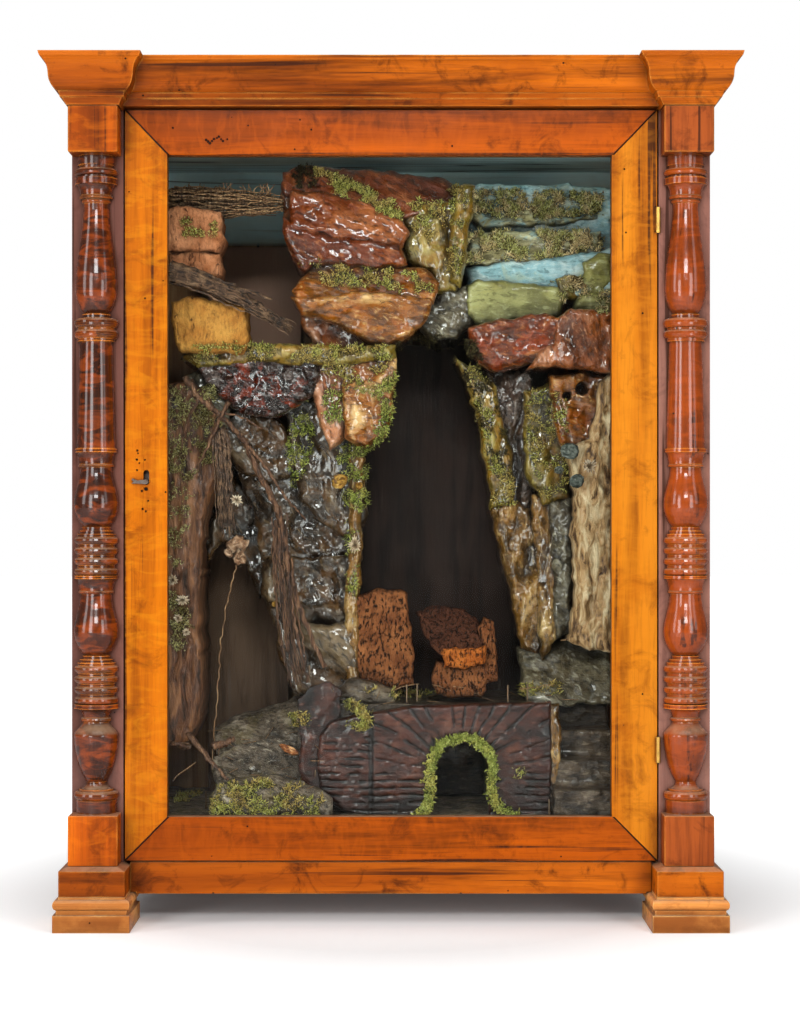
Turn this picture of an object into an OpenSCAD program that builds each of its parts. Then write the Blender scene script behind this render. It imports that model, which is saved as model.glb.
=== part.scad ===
// Glazed display cabinet with a crib landscape: turned half columns, broken cornice, hinged door with a lock.
// Millimetres, +Z up, front towards -Y, origin on the floor under the middle of the cabinet's box.

/* [Case] */
// Width over the side panels
case_w = 621; // [560:1:680]
// Depth of the case, from the front boards' face to the back
case_d = 300; // [260:1:360]
// Height of the whole cabinet, feet and cornice included
case_h = 840; // [780:1:900]
// Thickness of the side panels
side_t = 15; // [12:0.5:18]
// Thickness of the back boards
back_t = 12; // [8:0.5:16]
// Number of upright back boards
back_boards = 4; // [2:1:6]
// Thickness of the top board
top_t = 16; // [12:0.5:20]
// Height of the top board's underside below the cornice's foot
ceiling_drop = 11; // [8:0.5:14]
// Thickness of the floor board
floor_t = 16; // [12:0.5:20]
// Width of the dark boards beside the door
board_w = 50; // [46:0.5:56]
// Thickness of the dark boards
board_t = 20; // [17:0.5:24]

/* [Base] */
// Depth of a front foot's slab
foot_d = 83; // [75:0.5:100]
// Height of the slab
foot_slab_h = 16.5; // [12:0.5:20]
// Height of the groove over the slab
foot_groove_h = 4.8; // [3:0.1:6]
// Depth of the groove
foot_groove_in = 3; // [1:0.1:4]
// Height of the round moulding over the groove
foot_torus_h = 9.8; // [8:0.1:12]
// Height of the neck between the round moulding and the plinth
foot_neck_h = 2.4; // [1:0.1:4]
// Step from the foot's edge in to the plinth's edge
foot_step = 5; // [3:0.5:7]
// Height of the plinth block's upright faces
plinth_h = 24.5; // [20:0.5:30]
// Height of the slope on top of the plinth block
plinth_slope_h = 3.5; // [1:0.1:4]
// Step from the plinth's edge in to the pedestal's edge
plinth_step = 8; // [6:0.5:9]
// Height of the rail's underside over the floor
rail_clear = 29.7; // [22:0.5:31]
// Thickness of the rails of the base
rail_t = 20; // [16:0.5:24]
// Distance of the front rail's face behind the boards' face
rail_back = 5; // [0:0.5:8]
// Width and depth of a rear foot
rear_foot_w = 48; // [40:1:60]

/* [Blocks] */
// Width of the pedestal and capital blocks
block_w = 48; // [44:0.5:49]
// Distance that the blocks stand out in front of the boards
block_out = 28; // [25:0.5:34]
// Height of the pedestal block
pedestal_h = 48.8; // [44:0.5:56]
// Height of the capital block
capital_h = 45; // [40:0.5:52]

/* [Columns] */
// Largest radius of the turned half columns
column_r = 21.9; // [20:0.1:23]
// Segments of a round moulding's profile
bead_steps = 6; // [4:1:12]

/* [Cornice] */
// Height of the cornice
cornice_h = 47; // [42:0.5:52]
// Distance that the cornice's top stands out from the capital
cornice_out = 25; // [22:0.5:28]
// Distance of the centre cornice behind the corner blocks
cornice_set_back = 20; // [16:0.5:24]

/* [Door] */
// Gap round the door
door_gap = 1.5; // [1.2:0.1:2]
// Thickness of the door
door_t = 20; // [18:0.5:22]
// Width of the stile that holds the lock
lock_stile_w = 41; // [38:0.5:50]
// Width of the stile that holds the hinges
hinge_stile_w = 44; // [38:0.5:50]
// Width of the door's top rail
door_top_w = 44; // [38:0.5:50]
// Width of the door's bottom rail
door_foot_w = 42.5; // [38:0.5:50]
// Thickness of the glass
glass_t = 2; // [1.6:0.1:3]
// Width of the rebate that holds the glass
rebate_w = 6; // [5:0.5:8]
// Distance of the rebate behind the door's face
rebate_front = 9; // [8:0.5:10]
// Thickness of the beads that hold the glass, from front to back
bead_t = 6; // [4:0.5:7]

/* [Hinges] */
// Length of a hinge
hinge_h = 25; // [20:0.5:32]
// Distance of each hinge's middle from the door's end
hinge_inset = 108; // [80:1:140]
// Number of knuckles
knuckles = 5; // [3:2:7]
// Outer radius of the knuckles
knuckle_r = 2.35; // [2.1:0.05:2.7]
// Radius of the hinge pin
pin_r = 1.1; // [0.9:0.05:1.3]
// Running clearance of the pin
pin_clear = 0.05; // [0.03:0.01:0.1]
// Thickness of a leaf
leaf_t = 1.2; // [1:0.1:1.5]
// Width of a leaf, from the door's face inwards
leaf_w = 14; // [12:0.5:17]
// Radius of a screw's shank
screw_r = 1.1; // [0.9:0.05:1.3]
// Length of a screw
screw_l = 11; // [8:0.5:14]

/* [Lock] */
// Width of the keyhole
keyhole_w = 5.6; // [5:0.1:6.5]
// Height of the keyhole
keyhole_h = 14.4; // [12:0.1:17]
// Distance of the keyhole's middle from the door's edge
backset = 20.8; // [18:0.1:23]
// Height of the keyhole's middle over the door's middle
keyhole_up = 7.5; // [-40:0.5:40]
// Width of the lock case
lock_w = 32; // [31:0.5:34]
// Height of the lock case
lock_h = 46; // [42:0.5:60]
// Depth of the lock case
lock_d = 10.8; // [10.5:0.1:11.5]
// Wall of the lock case
lock_wall = 1.2; // [1:0.1:1.4]
// Height of the bolt
bolt_h = 10; // [8:0.5:12]
// Thickness of the bolt
bolt_t = 4; // [3:0.1:5]
// Length of the bolt
bolt_l = 28; // [27.5:0.5:28.5]
// Travel of the bolt
bolt_travel = 6; // [4:0.5:6.5]
// Radius of the key's shank
key_r = 2.2; // [1.8:0.1:2.4]
// Length of the lever left on the key
key_lever = 14; // [10:0.5:16]

/* [Landscape] */
// Height of the ground inside over the floor board
ground_h = 22.5; // [18:0.5:26]
// Height of the stage over the ground
stage_h = 110; // [100:1:120]
// Width of the arch in the front of the stage
arch_w = 60; // [50:1:66]
// Height of the arch up to its crown
arch_h = 70; // [60:1:80]
// Depth of the tunnel behind the arch
tunnel_d = 130; // [60:1:150]
// Thickness of the arch's front block
arch_t = 12; // [8:0.5:14]
// Width of the grooves that mark out the arch's stones
groove_w = 2; // [1:0.1:3]
// Depth of the grooves that mark out the arch's stones
groove_d = 2; // [1:0.1:4]
// Smooth rim between the arch and its grooves
arch_rim = 6; // [4:0.5:10]
// Number of spaces between the grooves that fan out over the arch
arch_rays = 15; // [9:1:17]
// Number of courses below the arch's centre, marked out by level grooves
arch_courses = 5; // [3:1:6]
// Thickness of the dark boards at the back of the cave and the recesses
dark_board_t = 8; // [5:0.5:10]
// Height of the knoll on the stage, at the foot of the branch
knoll_h = 19.7; // [10:0.1:30]
// Number of steps at the right of the stage
steps = 3; // [2:1:4]
// Radius of the pegs that held the figures
peg_r = 0.8; // [0.6:0.1:1.2]
// Length of the pegs over the ground
peg_h = 18; // [10:1:25]
// Radius of the leaning branch
branch_r = 4; // [2.5:0.1:5]
// Radius of a stick in the brushwood
stick_r = 1.8; // [1.2:0.1:2.4]

/* [Hidden] */

// Every cut runs past its face by this much
cut = 1;
// Points of an outline that are closer than this are one point
tiny = 0.001;
// Clearance of loose pieces in their seats
loose = 0.15;
$fn = 48;

case_half = case_w / 2;
board_in = case_half - board_w;
inner_half = case_half - side_t;
block_x = case_half - block_w / 2;
front_y = block_out + cornice_out;
face_y = -(case_d - front_y) / 2;
foot_h = foot_slab_h + foot_groove_h + foot_torus_h + foot_neck_h;
plinth_w = block_w + 2 * plinth_step;
foot_w = plinth_w + 2 * foot_step;
plinth_top = foot_h + plinth_h + plinth_slope_h;
foot_front = block_out + plinth_step + foot_step;
foot_back = foot_d - foot_front;
cornice_z = case_h - cornice_h;
capital_z = cornice_z - capital_h;
column_z = plinth_top + pedestal_h;
column_h = capital_z - column_z;
// The centre cornice starts a little above the foot of the corner blocks' cornice
centre_rise = 2.5;
// Foot of the centre cornice, just over the door's top edge
centre_z = cornice_z + centre_rise;
ceiling_z = cornice_z - ceiling_drop;
floor_top = plinth_top + floor_t;
back_y = case_d - back_t;
stop_y = door_t + loose;

door_x0 = -(board_in - door_gap);
door_x1 = board_in - door_gap;
door_z0 = plinth_top + door_gap;
door_z1 = centre_z - door_gap;
sight_x0 = door_x0 + lock_stile_w;
sight_x1 = door_x1 - hinge_stile_w;
sight_z0 = door_z0 + door_foot_w;
sight_z1 = door_z1 - door_top_w;
glass_y = rebate_front;

hinge_x = (door_x1 + board_in) / 2;
hinge_y = -(knuckle_r + loose);
hinge_zs = [door_z0 + hinge_inset, door_z1 - hinge_inset];
knuckle_h = hinge_h / knuckles;
screw_y = leaf_w * 0.6;
screw_zs = [-hinge_h / 3, 0, hinge_h / 3];
head_r = 2 * screw_r;

key_x = door_x0 + backset;
keyhole_z = (door_z0 + door_z1) / 2 + keyhole_up;
key_z = keyhole_z - keyhole_h / 2 + keyhole_w / 2;
lock_y = door_t - lock_d;
lock_z = key_z - 0.4 * lock_h;
bolt_y = lock_y + lock_d / 2;
bolt_z = key_z + bolt_h / 2;
bit_r = 0.76 * bolt_h;
bit_w = 0.2 * bolt_h;
bit_turn = 25;
talon_w = 2.1 * bit_w;
strike_t = 1;
strike_h = 3.2 * bolt_h;

// Shares of the cornice's height and projection, from its foot up
cornice_z_share = [0, 0.14, 0.14, 0.26, 0.26, 0.91];
cornice_out_share = [0.06, 0.2, 0.27, 0.32, 0.38, 0.95];
cyma_start = 25;
cyma_steps = 6;

// One turning of the column: kind, height share, radius shares at its foot and head, then the belly's
// radius share and its place in the height
BAND = 0;
BEAD = 1;
COVE = 2;
VASE = 3;
ring_shares = [for (i = [1:4]) each [[BEAD, 7.4, 0.86, 0.99], [BAND, 3, 0.86, 0.86]]];
turning_shares = concat(
    [[BAND, 13, 0.91, 0.91], [BEAD, 9, 0.86, 1], [BAND, 2, 0.78, 0.78], [COVE, 7, 0.72, 0.47]],
    [[VASE, 60, 0.47, 0.6, 1, 0.77], [BEAD, 4.3, 0.6, 0.7], [COVE, 9, 0.6, 0.96], [BAND, 4.3, 1, 1]],
    ring_shares,
    [[BAND, 3.4, 0.75, 0.75], [BAND, 3.4, 0.63, 0.63], [VASE, 62, 0.56, 0.71, 1, 0.38]],
    [[BEAD, 3, 0.74, 0.81], [COVE, 12, 0.78, 0.96], [BAND, 3, 0.98, 0.98]],
    ring_shares,
    [[BAND, 3.4, 0.75, 0.75], [BAND, 3.4, 0.66, 0.66], [VASE, 60, 0.62, 0.71, 1, 0.38]],
    [[BEAD, 2.8, 0.76, 0.82], [COVE, 12, 0.78, 0.93], [BAND, 3.5, 0.94, 0.94]],
    [[BAND, 107, 0.88, 0.74], [BAND, 3, 0.85, 0.85], [BEAD, 8.5, 0.85, 0.99], [BAND, 2, 0.85, 0.85]],
    [[BEAD, 9.5, 0.85, 0.99], [BAND, 4.2, 0.65, 0.65], [VASE, 111, 0.56, 0.58, 0.94, 0.23]],
    [[BEAD, 4, 0.6, 0.66], [BEAD, 3.8, 0.68, 0.76], [COVE, 10.7, 0.71, 0.93], [BAND, 6.5, 0.95, 0.95]],
    [[BAND, 2, 0.82, 0.82], [BEAD, 7.5, 0.82, 0.98], [BAND, 3, 0.78, 0.78], [BAND, 10, 0.83, 0.83]]
);

// Outline helpers
function spread(points) =
    [for (i = [0:len(points) - 1]) if (i == 0 || norm(points[i] - points[i - 1]) > tiny) points[i]];
function reversed(list) = [for (i = [len(list) - 1:-1:0]) list[i]];
function total(list, n) = n < 1 ? 0 : list[n - 1] + total(list, n - 1);

// A cyma as points of projection and height: round below, hollow above
function cyma_half(turn) = [sin(turn) - sin(cyma_start), cos(cyma_start) - cos(turn)];
function cyma(out0, out1, z0, z1) =
    let (
        end = cyma_half(90),
        out_half = (out1 - out0) / 2,
        z_half = (z1 - z0) / 2,
        turns = [for (i = [0:cyma_steps]) cyma_start + (90 - cyma_start) * i / cyma_steps],
        low = [for (turn = turns) let (p = cyma_half(turn))
            [p[0] / end[0] * out_half, p[1] / end[1] * z_half]]
    )
    concat(
        [for (p = low) [out0 + p[0], z0 + p[1]]],
        [for (p = reversed(low)) [out1 - p[0], z1 - p[1]]]
    );

// The cornice's profile as projection and height, with its height counted from base
function cornice_profile(base) =
    let (
        outs = [for (share = cornice_out_share) share * cornice_out],
        zs = [for (share = cornice_z_share) share * (cornice_h - base)],
        last = len(outs) - 1
    )
    spread(concat(
        [for (i = [0:last - 1]) [outs[i], zs[i]]],
        cyma(outs[last - 1], outs[last], zs[last - 1], zs[last]),
        [[cornice_out, cornice_h - base]]
    ));

// The foot's profile: slab, groove, round moulding and neck, as distances in from the slab's edge
function foot_profile() =
    let (torus_z = foot_slab_h + foot_groove_h)
    spread(concat(
        [[0, 0], [0, foot_slab_h], [-foot_groove_in, foot_slab_h], [-foot_groove_in, torus_z]],
        [for (i = [0:bead_steps])
            [-foot_groove_in * (1 - sin(180 * i / bead_steps)),
                torus_z + foot_torus_h * (1 - cos(180 * i / bead_steps)) / 2]],
        [[-foot_step, torus_z + foot_torus_h], [-foot_step, foot_h]]
    ));

// Points of one turning, as radius share and height above its foot
function turning_points(piece) =
    let (kind = piece[0], h = piece[1], r0 = piece[2], r1 = piece[3])
    kind == BAND ? [[r0, 0], [r1, h]] :
    kind == BEAD ? [for (i = [0:bead_steps]) let (a = 180 * i / bead_steps)
        [r0 + (r1 - r0) * sin(a), h * (1 - cos(a)) / 2]] :
    kind == COVE ? [for (i = [0:bead_steps]) let (a = 90 * i / bead_steps)
        r1 > r0 ? [r0 + (r1 - r0) * (1 - cos(a)), h * sin(a)] :
        [r1 + (r0 - r1) * (1 - sin(a)), h * (1 - cos(a))]] :
    concat(
        [for (i = [0:bead_steps]) let (t = i / bead_steps)
            [r0 + (piece[4] - r0) * pow(sin(90 * t), 0.8), piece[5] * h * t]],
        [for (i = [1:2 * bead_steps]) let (t = i / (2 * bead_steps))
            [r1 + (piece[4] - r1) * (1 + cos(180 * t)) / 2, h * (piece[5] + (1 - piece[5]) * t)]]
    );
turning_heights = [for (piece = turning_shares) piece[1]];
turning_unit = column_h / total(turning_heights, len(turning_heights));
column_points = spread([for (i = [0:len(turning_shares) - 1]) for (p = turning_points(turning_shares[i]))
    [p[0] * column_r, (total(turning_heights, i) + p[1]) * turning_unit]]);

// Placing and extruding helpers
module placed() translate([0, face_y, 0]) children();
module along_y(y0, y1) translate([0, y1, 0]) rotate([90, 0, 0]) linear_extrude(y1 - y0) children();
module along_x(x0, x1) translate([x0, 0, 0]) rotate([90, 0, 90]) linear_extrude(x1 - x0) children();
module box(low, high) translate(low) cube(high - low);
module on_side(side) translate([side * block_x, 0, 0]) children();

// A moulding mitred round the front and two sides of a block of width w
module moulded_block(profile, w, y_front, y_back) {
    intersection() {
        along_y(-y_front - cornice_out, y_back)
            polygon(concat(
                [for (p = profile) [w / 2 + p[0], p[1]]],
                [for (p = reversed(profile)) [-w / 2 - p[0], p[1]]]
            ));
        along_x(-w / 2 - cornice_out, w / 2 + cornice_out)
            polygon(concat(
                [for (p = profile) [-y_front - p[0], p[1]]],
                [[y_back, profile[len(profile) - 1][1]], [y_back, profile[0][1]]]
            ));
    }
}

// Base
module foot(side) color("darkorange")
    on_side(side) moulded_block(foot_profile(), foot_w, foot_front, foot_back);

module plinth(side) color("darkorange")
    on_side(side) translate([0, 0, foot_h])
        moulded_block(
            [[0, 0], [0, plinth_h], [-plinth_step, plinth_h + plinth_slope_h]],
            plinth_w, foot_front - foot_step, foot_back
        );

// The front rail, notched over the round mouldings of the feet
module bottom_rail() color("chocolate") {
    torus_top = foot_h - foot_neck_h;
    difference() {
        box([-(block_x - plinth_w / 2), rail_back, rail_clear],
            [block_x - plinth_w / 2, rail_back + rail_t, plinth_top]);
        for (side = [-1, 1])
            on_side(side)
                box([-foot_w / 2 - loose, -foot_front, torus_top - foot_torus_h],
                    [foot_w / 2 + loose, foot_back, torus_top + loose]);
    }
}

module base_side_rails() color("saddlebrown")
    for (side = [-1, 1])
        translate([side * (case_half - rail_t / 2), 0, 0])
            box([-rail_t / 2, foot_back, rail_clear], [rail_t / 2, case_d - rear_foot_w, plinth_top]);

module rear_feet() color("saddlebrown")
    for (side = [-1, 1])
        translate([side * (case_half - rear_foot_w / 2), 0, 0])
            box([-rear_foot_w / 2, case_d - rear_foot_w, 0], [rear_foot_w / 2, case_d, plinth_top]);

// Case
module side_panel(side) color("saddlebrown")
    translate([side * (case_half - side_t / 2), 0, 0])
        box([-side_t / 2, board_t, plinth_top], [side_t / 2, case_d, case_h - centre_rise]);

module top_board() color("saddlebrown")
    box([-inner_half, stop_y, ceiling_z], [inner_half, back_y, ceiling_z + top_t]);

module floor_board() color("saddlebrown")
    box([-inner_half, stop_y, plinth_top], [inner_half, back_y, floor_top]);

module back_panel() color("peru") {
    step = 2 * inner_half / back_boards;
    for (i = [0:back_boards - 1])
        box([-inner_half + i * step, back_y, plinth_top],
            [-inner_half + (i + 1) * step - tiny, case_d, case_h - top_t]);
}

// Dark boards beside the door, with the hinge recesses on the right and the bolt's mortise on the left
module front_board_left() color("#4a2a22")
    difference() {
        box([-case_half, 0, plinth_top], [-board_in, board_t, cornice_z]);
        strike_body();
        box([-board_in - bolt_travel - strike_t, bolt_y - bolt_t / 2 - loose, bolt_z - loose],
            [-board_in + cut, bolt_y + bolt_t / 2 + loose, bolt_z + bolt_h + loose]);
    }

module front_board_right() color("#4a2a22")
    difference() {
        box([board_in, 0, plinth_top], [case_half, board_t, cornice_z]);
        for (z = hinge_zs) {
            box([board_in - cut, -cut, z - hinge_h / 2], [board_in + leaf_t, leaf_w, z + hinge_h / 2]);
            screw_holes(z, 1);
        }
    }

// Blocks and columns
module pedestal(side) color("darkorange") on_side(side)
    box([-block_w / 2, -block_out, plinth_top], [block_w / 2, 0, column_z]);

module capital(side) color("darkorange") on_side(side)
    box([-block_w / 2, -block_out, capital_z], [block_w / 2, 0, cornice_z]);

module column(side) color("#6b2a14") on_side(side)
    translate([0, 0, column_z]) rotate([0, 0, 180])
        rotate_extrude(angle = 180) polygon(concat([[0, 0]], column_points, [[0, column_h]]));

// Cornice
module cornice_block(side) color("darkorange") on_side(side) translate([0, 0, cornice_z])
    moulded_block(cornice_profile(0), block_w, block_out, board_t);

module cornice_side(side) color("darkorange")
    mirror([side < 0 ? 1 : 0, 0, 0]) translate([case_half, 0, cornice_z])
        along_y(board_t, case_d)
            polygon(concat([[0, 0]], cornice_profile(0), [[0, cornice_h]]));

module cornice_centre() color("darkorange")
    difference() {
        along_x(-block_x, block_x) translate([0, centre_z])
            polygon(concat(
                [for (p = cornice_profile(centre_rise)) [cornice_set_back - block_out - p[0], p[1]]],
                [[board_t, cornice_h - centre_rise], [board_t, 0]]
            ));
        for (side = [-1, 1]) {
            cornice_block(side);
            on_side(side)
                box([-block_w / 2 - tiny, -front_y, centre_z - cut],
                    [block_w / 2, board_t + cut, case_h + cut]);
        }
    }

// Door: four mitred members with one rebate for the glass
module door_member(outline) color("orange")
    difference() {
        along_y(0, door_t) polygon(outline);
        box([sight_x0 - rebate_w, rebate_front, sight_z0 - rebate_w],
            [sight_x1 + rebate_w, door_t + cut, sight_z1 + rebate_w]);
    }

module door_lock_stile()
    difference() {
        door_member([[door_x0, door_z0], [sight_x0, sight_z0], [sight_x0, sight_z1], [door_x0, door_z1]]);
        lock_body();
        along_y(-cut, lock_y + cut) keyhole_outline();
    }

module door_hinge_stile()
    difference() {
        door_member([[door_x1, door_z0], [sight_x1, sight_z0], [sight_x1, sight_z1], [door_x1, door_z1]]);
        for (z = hinge_zs) {
            box([door_x1 - leaf_t, -cut, z - hinge_h / 2], [door_x1 + cut, leaf_w, z + hinge_h / 2]);
            screw_holes(z, -1);
        }
    }

module door_top_rail()
    door_member([[door_x0, door_z1], [sight_x0, sight_z1], [sight_x1, sight_z1], [door_x1, door_z1]]);

module door_bottom_rail()
    door_member([[door_x0, door_z0], [sight_x0, sight_z0], [sight_x1, sight_z0], [door_x1, door_z0]]);

module glass_pane() color("lightcyan", 0.3)
    box([sight_x0 - rebate_w + loose, glass_y, sight_z0 - rebate_w + loose],
        [sight_x1 + rebate_w - loose, glass_y + glass_t, sight_z1 + rebate_w - loose]);

// Beads with a sloped face, as long strips above and below and shorter ones at the sides
bead_slope_share = [0.45, 0.6];
module bead_outline()
    polygon([[0, 0], [rebate_w, 0], [rebate_w, bead_slope_share[1] * bead_t],
        [bead_slope_share[0] * rebate_w, bead_t], [0, bead_t]]);

module glazing_beads() color("peru") {
    bead_y = glass_y + glass_t;
    for (end = [0, 1])
        translate([0, bead_y, end == 0 ? sight_z0 - rebate_w : sight_z1 + rebate_w])
            along_x(sight_x0 - rebate_w, sight_x1 + rebate_w)
                mirror([0, end]) rotate(90) mirror([0, 1]) bead_outline();
    for (end = [0, 1])
        translate([end == 0 ? sight_x0 - rebate_w : sight_x1 + rebate_w, bead_y, sight_z0 + tiny])
            linear_extrude(sight_z1 - sight_z0 - 2 * tiny)
                mirror([end, 0]) bead_outline();
}

// Hinges: even knuckles belong to the case, odd ones to the door
module screw_holes(z, side)
    for (dz = screw_zs)
        translate([side > 0 ? board_in : door_x1, screw_y, z + dz])
            rotate([0, side * 90, 0]) cylinder(r = screw_r + pin_clear, h = screw_l + cut);

module screws(side)
    for (z = hinge_zs) for (dz = screw_zs)
        translate([side > 0 ? board_in : door_x1, screw_y, z + dz])
            rotate([0, side * 90, 0]) {
                cylinder(r1 = head_r, r2 = screw_r, h = leaf_t);
                cylinder(r = screw_r, h = screw_l);
            }

module hinge_leaf(z, side) {
    first = side > 0 ? 0 : 1;
    plate_x = side > 0 ? board_in : door_x1 - leaf_t;
    difference() {
        union() {
            box([plate_x, 0, z - hinge_h / 2], [plate_x + leaf_t, leaf_w, z + hinge_h / 2]);
            for (i = [first:2:knuckles - 1]) {
                low = z - hinge_h / 2 + i * knuckle_h + pin_clear;
                box([plate_x, hinge_y, low], [plate_x + leaf_t, leaf_t, low + knuckle_h - 2 * pin_clear]);
                translate([hinge_x, hinge_y, low]) cylinder(r = knuckle_r, h = knuckle_h - 2 * pin_clear);
            }
        }
        translate([hinge_x, hinge_y, z - hinge_h]) cylinder(r = pin_r + pin_clear, h = 2 * hinge_h);
        for (dz = screw_zs)
            translate([side > 0 ? board_in : door_x1, screw_y, z + dz])
                rotate([0, side * 90, 0])
                    cylinder(r1 = head_r + pin_clear, r2 = screw_r + pin_clear, h = leaf_t);
    }
}

module hinge_case_leaves() color("goldenrod") for (z = hinge_zs) hinge_leaf(z, 1);
module hinge_door_leaves() color("goldenrod") for (z = hinge_zs) hinge_leaf(z, -1);
module case_screws() color("goldenrod") screws(1);
module door_screws() color("goldenrod") screws(-1);
module hinge_pins() color("goldenrod")
    for (z = hinge_zs)
        translate([hinge_x, hinge_y, z - hinge_h / 2]) cylinder(r = pin_r, h = hinge_h);

// Lock
module keyhole_outline()
    for (low = [0, 1])
        translate([key_x, low == 1 ? key_z : keyhole_z + keyhole_h / 2 - keyhole_w / 2]) {
            circle(r = keyhole_w / 2);
            if (low == 1) translate([-keyhole_w / 2, 0]) square([keyhole_w, keyhole_h - keyhole_w]);
        }

module lock_body() box([door_x0, lock_y, lock_z], [door_x0 + lock_w, door_t, lock_z + lock_h]);

module bolt_slot(clear)
    box([door_x0 - cut, bolt_y - bolt_t / 2 - clear, bolt_z - clear],
        [door_x0 + lock_wall + cut, bolt_y + bolt_t / 2 + clear, bolt_z + bolt_h + clear]);

module lock_case() color("dimgray")
    difference() {
        lock_body();
        box([door_x0 + lock_wall, lock_y + lock_wall, lock_z + lock_wall],
            [door_x0 + lock_w - lock_wall, door_t - lock_wall, lock_z + lock_h - lock_wall]);
        bolt_slot(loose);
        translate([key_x, lock_y - cut, key_z]) rotate([-90, 0, 0])
            cylinder(r = key_r + pin_clear, h = lock_wall + 2 * cut);
    }

module lock_bolt() color("silver")
    difference() {
        box([door_x0 + 2 * loose, bolt_y - bolt_t / 2, bolt_z],
            [door_x0 + 2 * loose + bolt_l, bolt_y + bolt_t / 2, bolt_z + bolt_h]);
        box([key_x + bolt_travel / 2 - talon_w / 2, bolt_y - bolt_t, bolt_z - cut],
            [key_x + bolt_travel / 2 + talon_w / 2, bolt_y + bolt_t, key_z + bit_r + 4 * loose]);
    }

// The broken key left in the hole: shank, bit and the forked stub of its bow
lever_share = [[0, 1], [0.6, 0.6], [0.95, 1.5], [1, 0.8], [0.85, 0.2], [1, -0.7], [0.62, -0.7], [0, -1]];
module key_stub() color("#7a6a5c") {
    lever_t = 1.1 * key_r;
    translate([key_x, 0, key_z]) {
        translate([0, -2 * loose, 0]) rotate([90, 0, 0])
            linear_extrude(lever_t) {
                circle(r = key_r);
                polygon([for (p = lever_share) [-p[0] * key_lever, p[1] * key_r]]);
            }
        translate([0, -2 * loose - lever_t, 0]) rotate([-90, 0, 0])
            cylinder(r = key_r, h = door_t - lock_wall + lever_t);
        rotate([0, bit_turn, 0])
            box([-bit_w / 2, bolt_y - bolt_t * 0.4, 0], [bit_w / 2, bolt_y + bolt_t * 0.4, bit_r]);
    }
}

module strike_body()
    box([-board_in - strike_t, bolt_y - bolt_t, bolt_z + bolt_h / 2 - strike_h / 2],
        [-board_in, bolt_y + bolt_t, bolt_z + bolt_h / 2 + strike_h / 2]);

module strike_plate() color("goldenrod")
    difference() {
        strike_body();
        box([-board_in - strike_t - cut, bolt_y - bolt_t / 2 - loose, bolt_z - loose],
            [-board_in + cut, bolt_y + bolt_t / 2 + loose, bolt_z + bolt_h + loose]);
    }

// Landscape: places are shares of the space inside the case
function inside_x(share) = inner_half * (2 * share - 1);
function inside_y(share) = stop_y + share * (back_y - stop_y);
function inside_z(share) = floor_top + share * (ceiling_z - floor_top);
function inside(shares) = [inside_x(shares[0]), inside_y(shares[1]), inside_z(shares[2])];
function noise(i, j, seed) = let (v = 437.5 * sin(127.1 * i + 311.7 * j + 74.7 * seed + 17)) v - floor(v);
function rounded(v, power) = sign(v) * pow(abs(v), power);

ground_z = floor_top + ground_h;
stage_z = ground_z + stage_h;
slope_z = inside_z(0.276);
fold_z = inside_z(0.472);
bark_z = inside_z(0.551);
recess_z = inside_z(0.394);
ledge_z = inside_z(0.605);
ledge_top = inside_z(0.702);
lintel_z = inside_z(0.674);
cave_top = inside_z(0.723);
right_z = inside_z(0.679);
right_top = inside_z(0.747);
cork_z = inside_z(0.768);
cork_mid = inside_z(0.83);
cork_top = inside_z(0.896);
olive_z = inside_z(0.787);
red_z = inside_z(0.821);
drape_top = inside_z(0.827);
red_mid = inside_z(0.884);
shelf_mid = inside_z(0.875);
shelf_top = inside_z(0.933);
red_top = inside_z(0.968);

// A craggy block in its box: flat foot and head, rough sides in uneven layers. Its left and right
// sides follow end_shares, pairs of shares of the box's width from the foot up
crag_sides = 12;
function crag_point(size, i, j, levels, seed, rough, end_shares) =
    let (
        ends = end_shares[round(i / levels * (len(end_shares) - 1))],
        inner = i > 0 && i < levels,
        a = 360 * (j + 0.5 * noise(i, j, seed)) / crag_sides,
        layer = i % 2 == 0 ? 1 : 1 - 0.35 * rough,
        taper = i == levels ? 0.86 : i == 0 ? 0.9 : 1,
        r = layer * taper * (1 - rough * noise(j, i + 3, seed)),
        level = (i + (inner ? 0.5 * (noise(i, j + 7, seed) - 0.5) : 0)) / levels
    )
    [
        size[0] * (ends[0] + (ends[1] - ends[0]) * (1 + r * rounded(cos(a), 0.55)) / 2),
        size[1] * (1 + r * rounded(sin(a), 0.55)) / 2,
        size[2] * level
    ];

module crag_solid(size, levels, seed, rough, end_shares) {
    last = crag_sides - 1;
    polyhedron(
        points = [for (i = [0:levels]) for (j = [0:last])
            crag_point(size, i, j, levels, seed, rough, end_shares)],
        faces = concat(
            [[for (j = [0:last]) j]],
            [[for (j = [0:last]) levels * crag_sides + last - j]],
            [for (i = [0:levels - 1]) for (j = [0:last])
                let (a = i * crag_sides + j, b = i * crag_sides + (j + 1) % crag_sides)
                each [[a, a + crag_sides, b], [b, a + crag_sides, b + crag_sides]]]
        )
    );
}

// A crag by the shares of its sides and by the heights of its foot and of what rests on its head
module crag(x_shares, y_shares, z0, z1, seed, levels = 5, rough = 0.2, end_shares = [[0, 1]]) {
    low = [inside_x(x_shares[0]), inside_y(y_shares[0]), z0];
    high = [inside_x(x_shares[1]), inside_y(y_shares[1]), z1 - 2 * loose];
    translate(low) crag_solid(high - low, levels, seed, rough, end_shares);
}

arch_share = [0.382, 0.771];
arch_mid = inside_x(0.6165);
stage_share = [0.339, 0.881];
stage_y_share = [0.2, 0.415, 0.93];
steps_y_share = 0.06;

module ground() color("dimgray")
    box([-inner_half, stop_y, floor_top], [inner_half, back_y, ground_z]);

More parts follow.
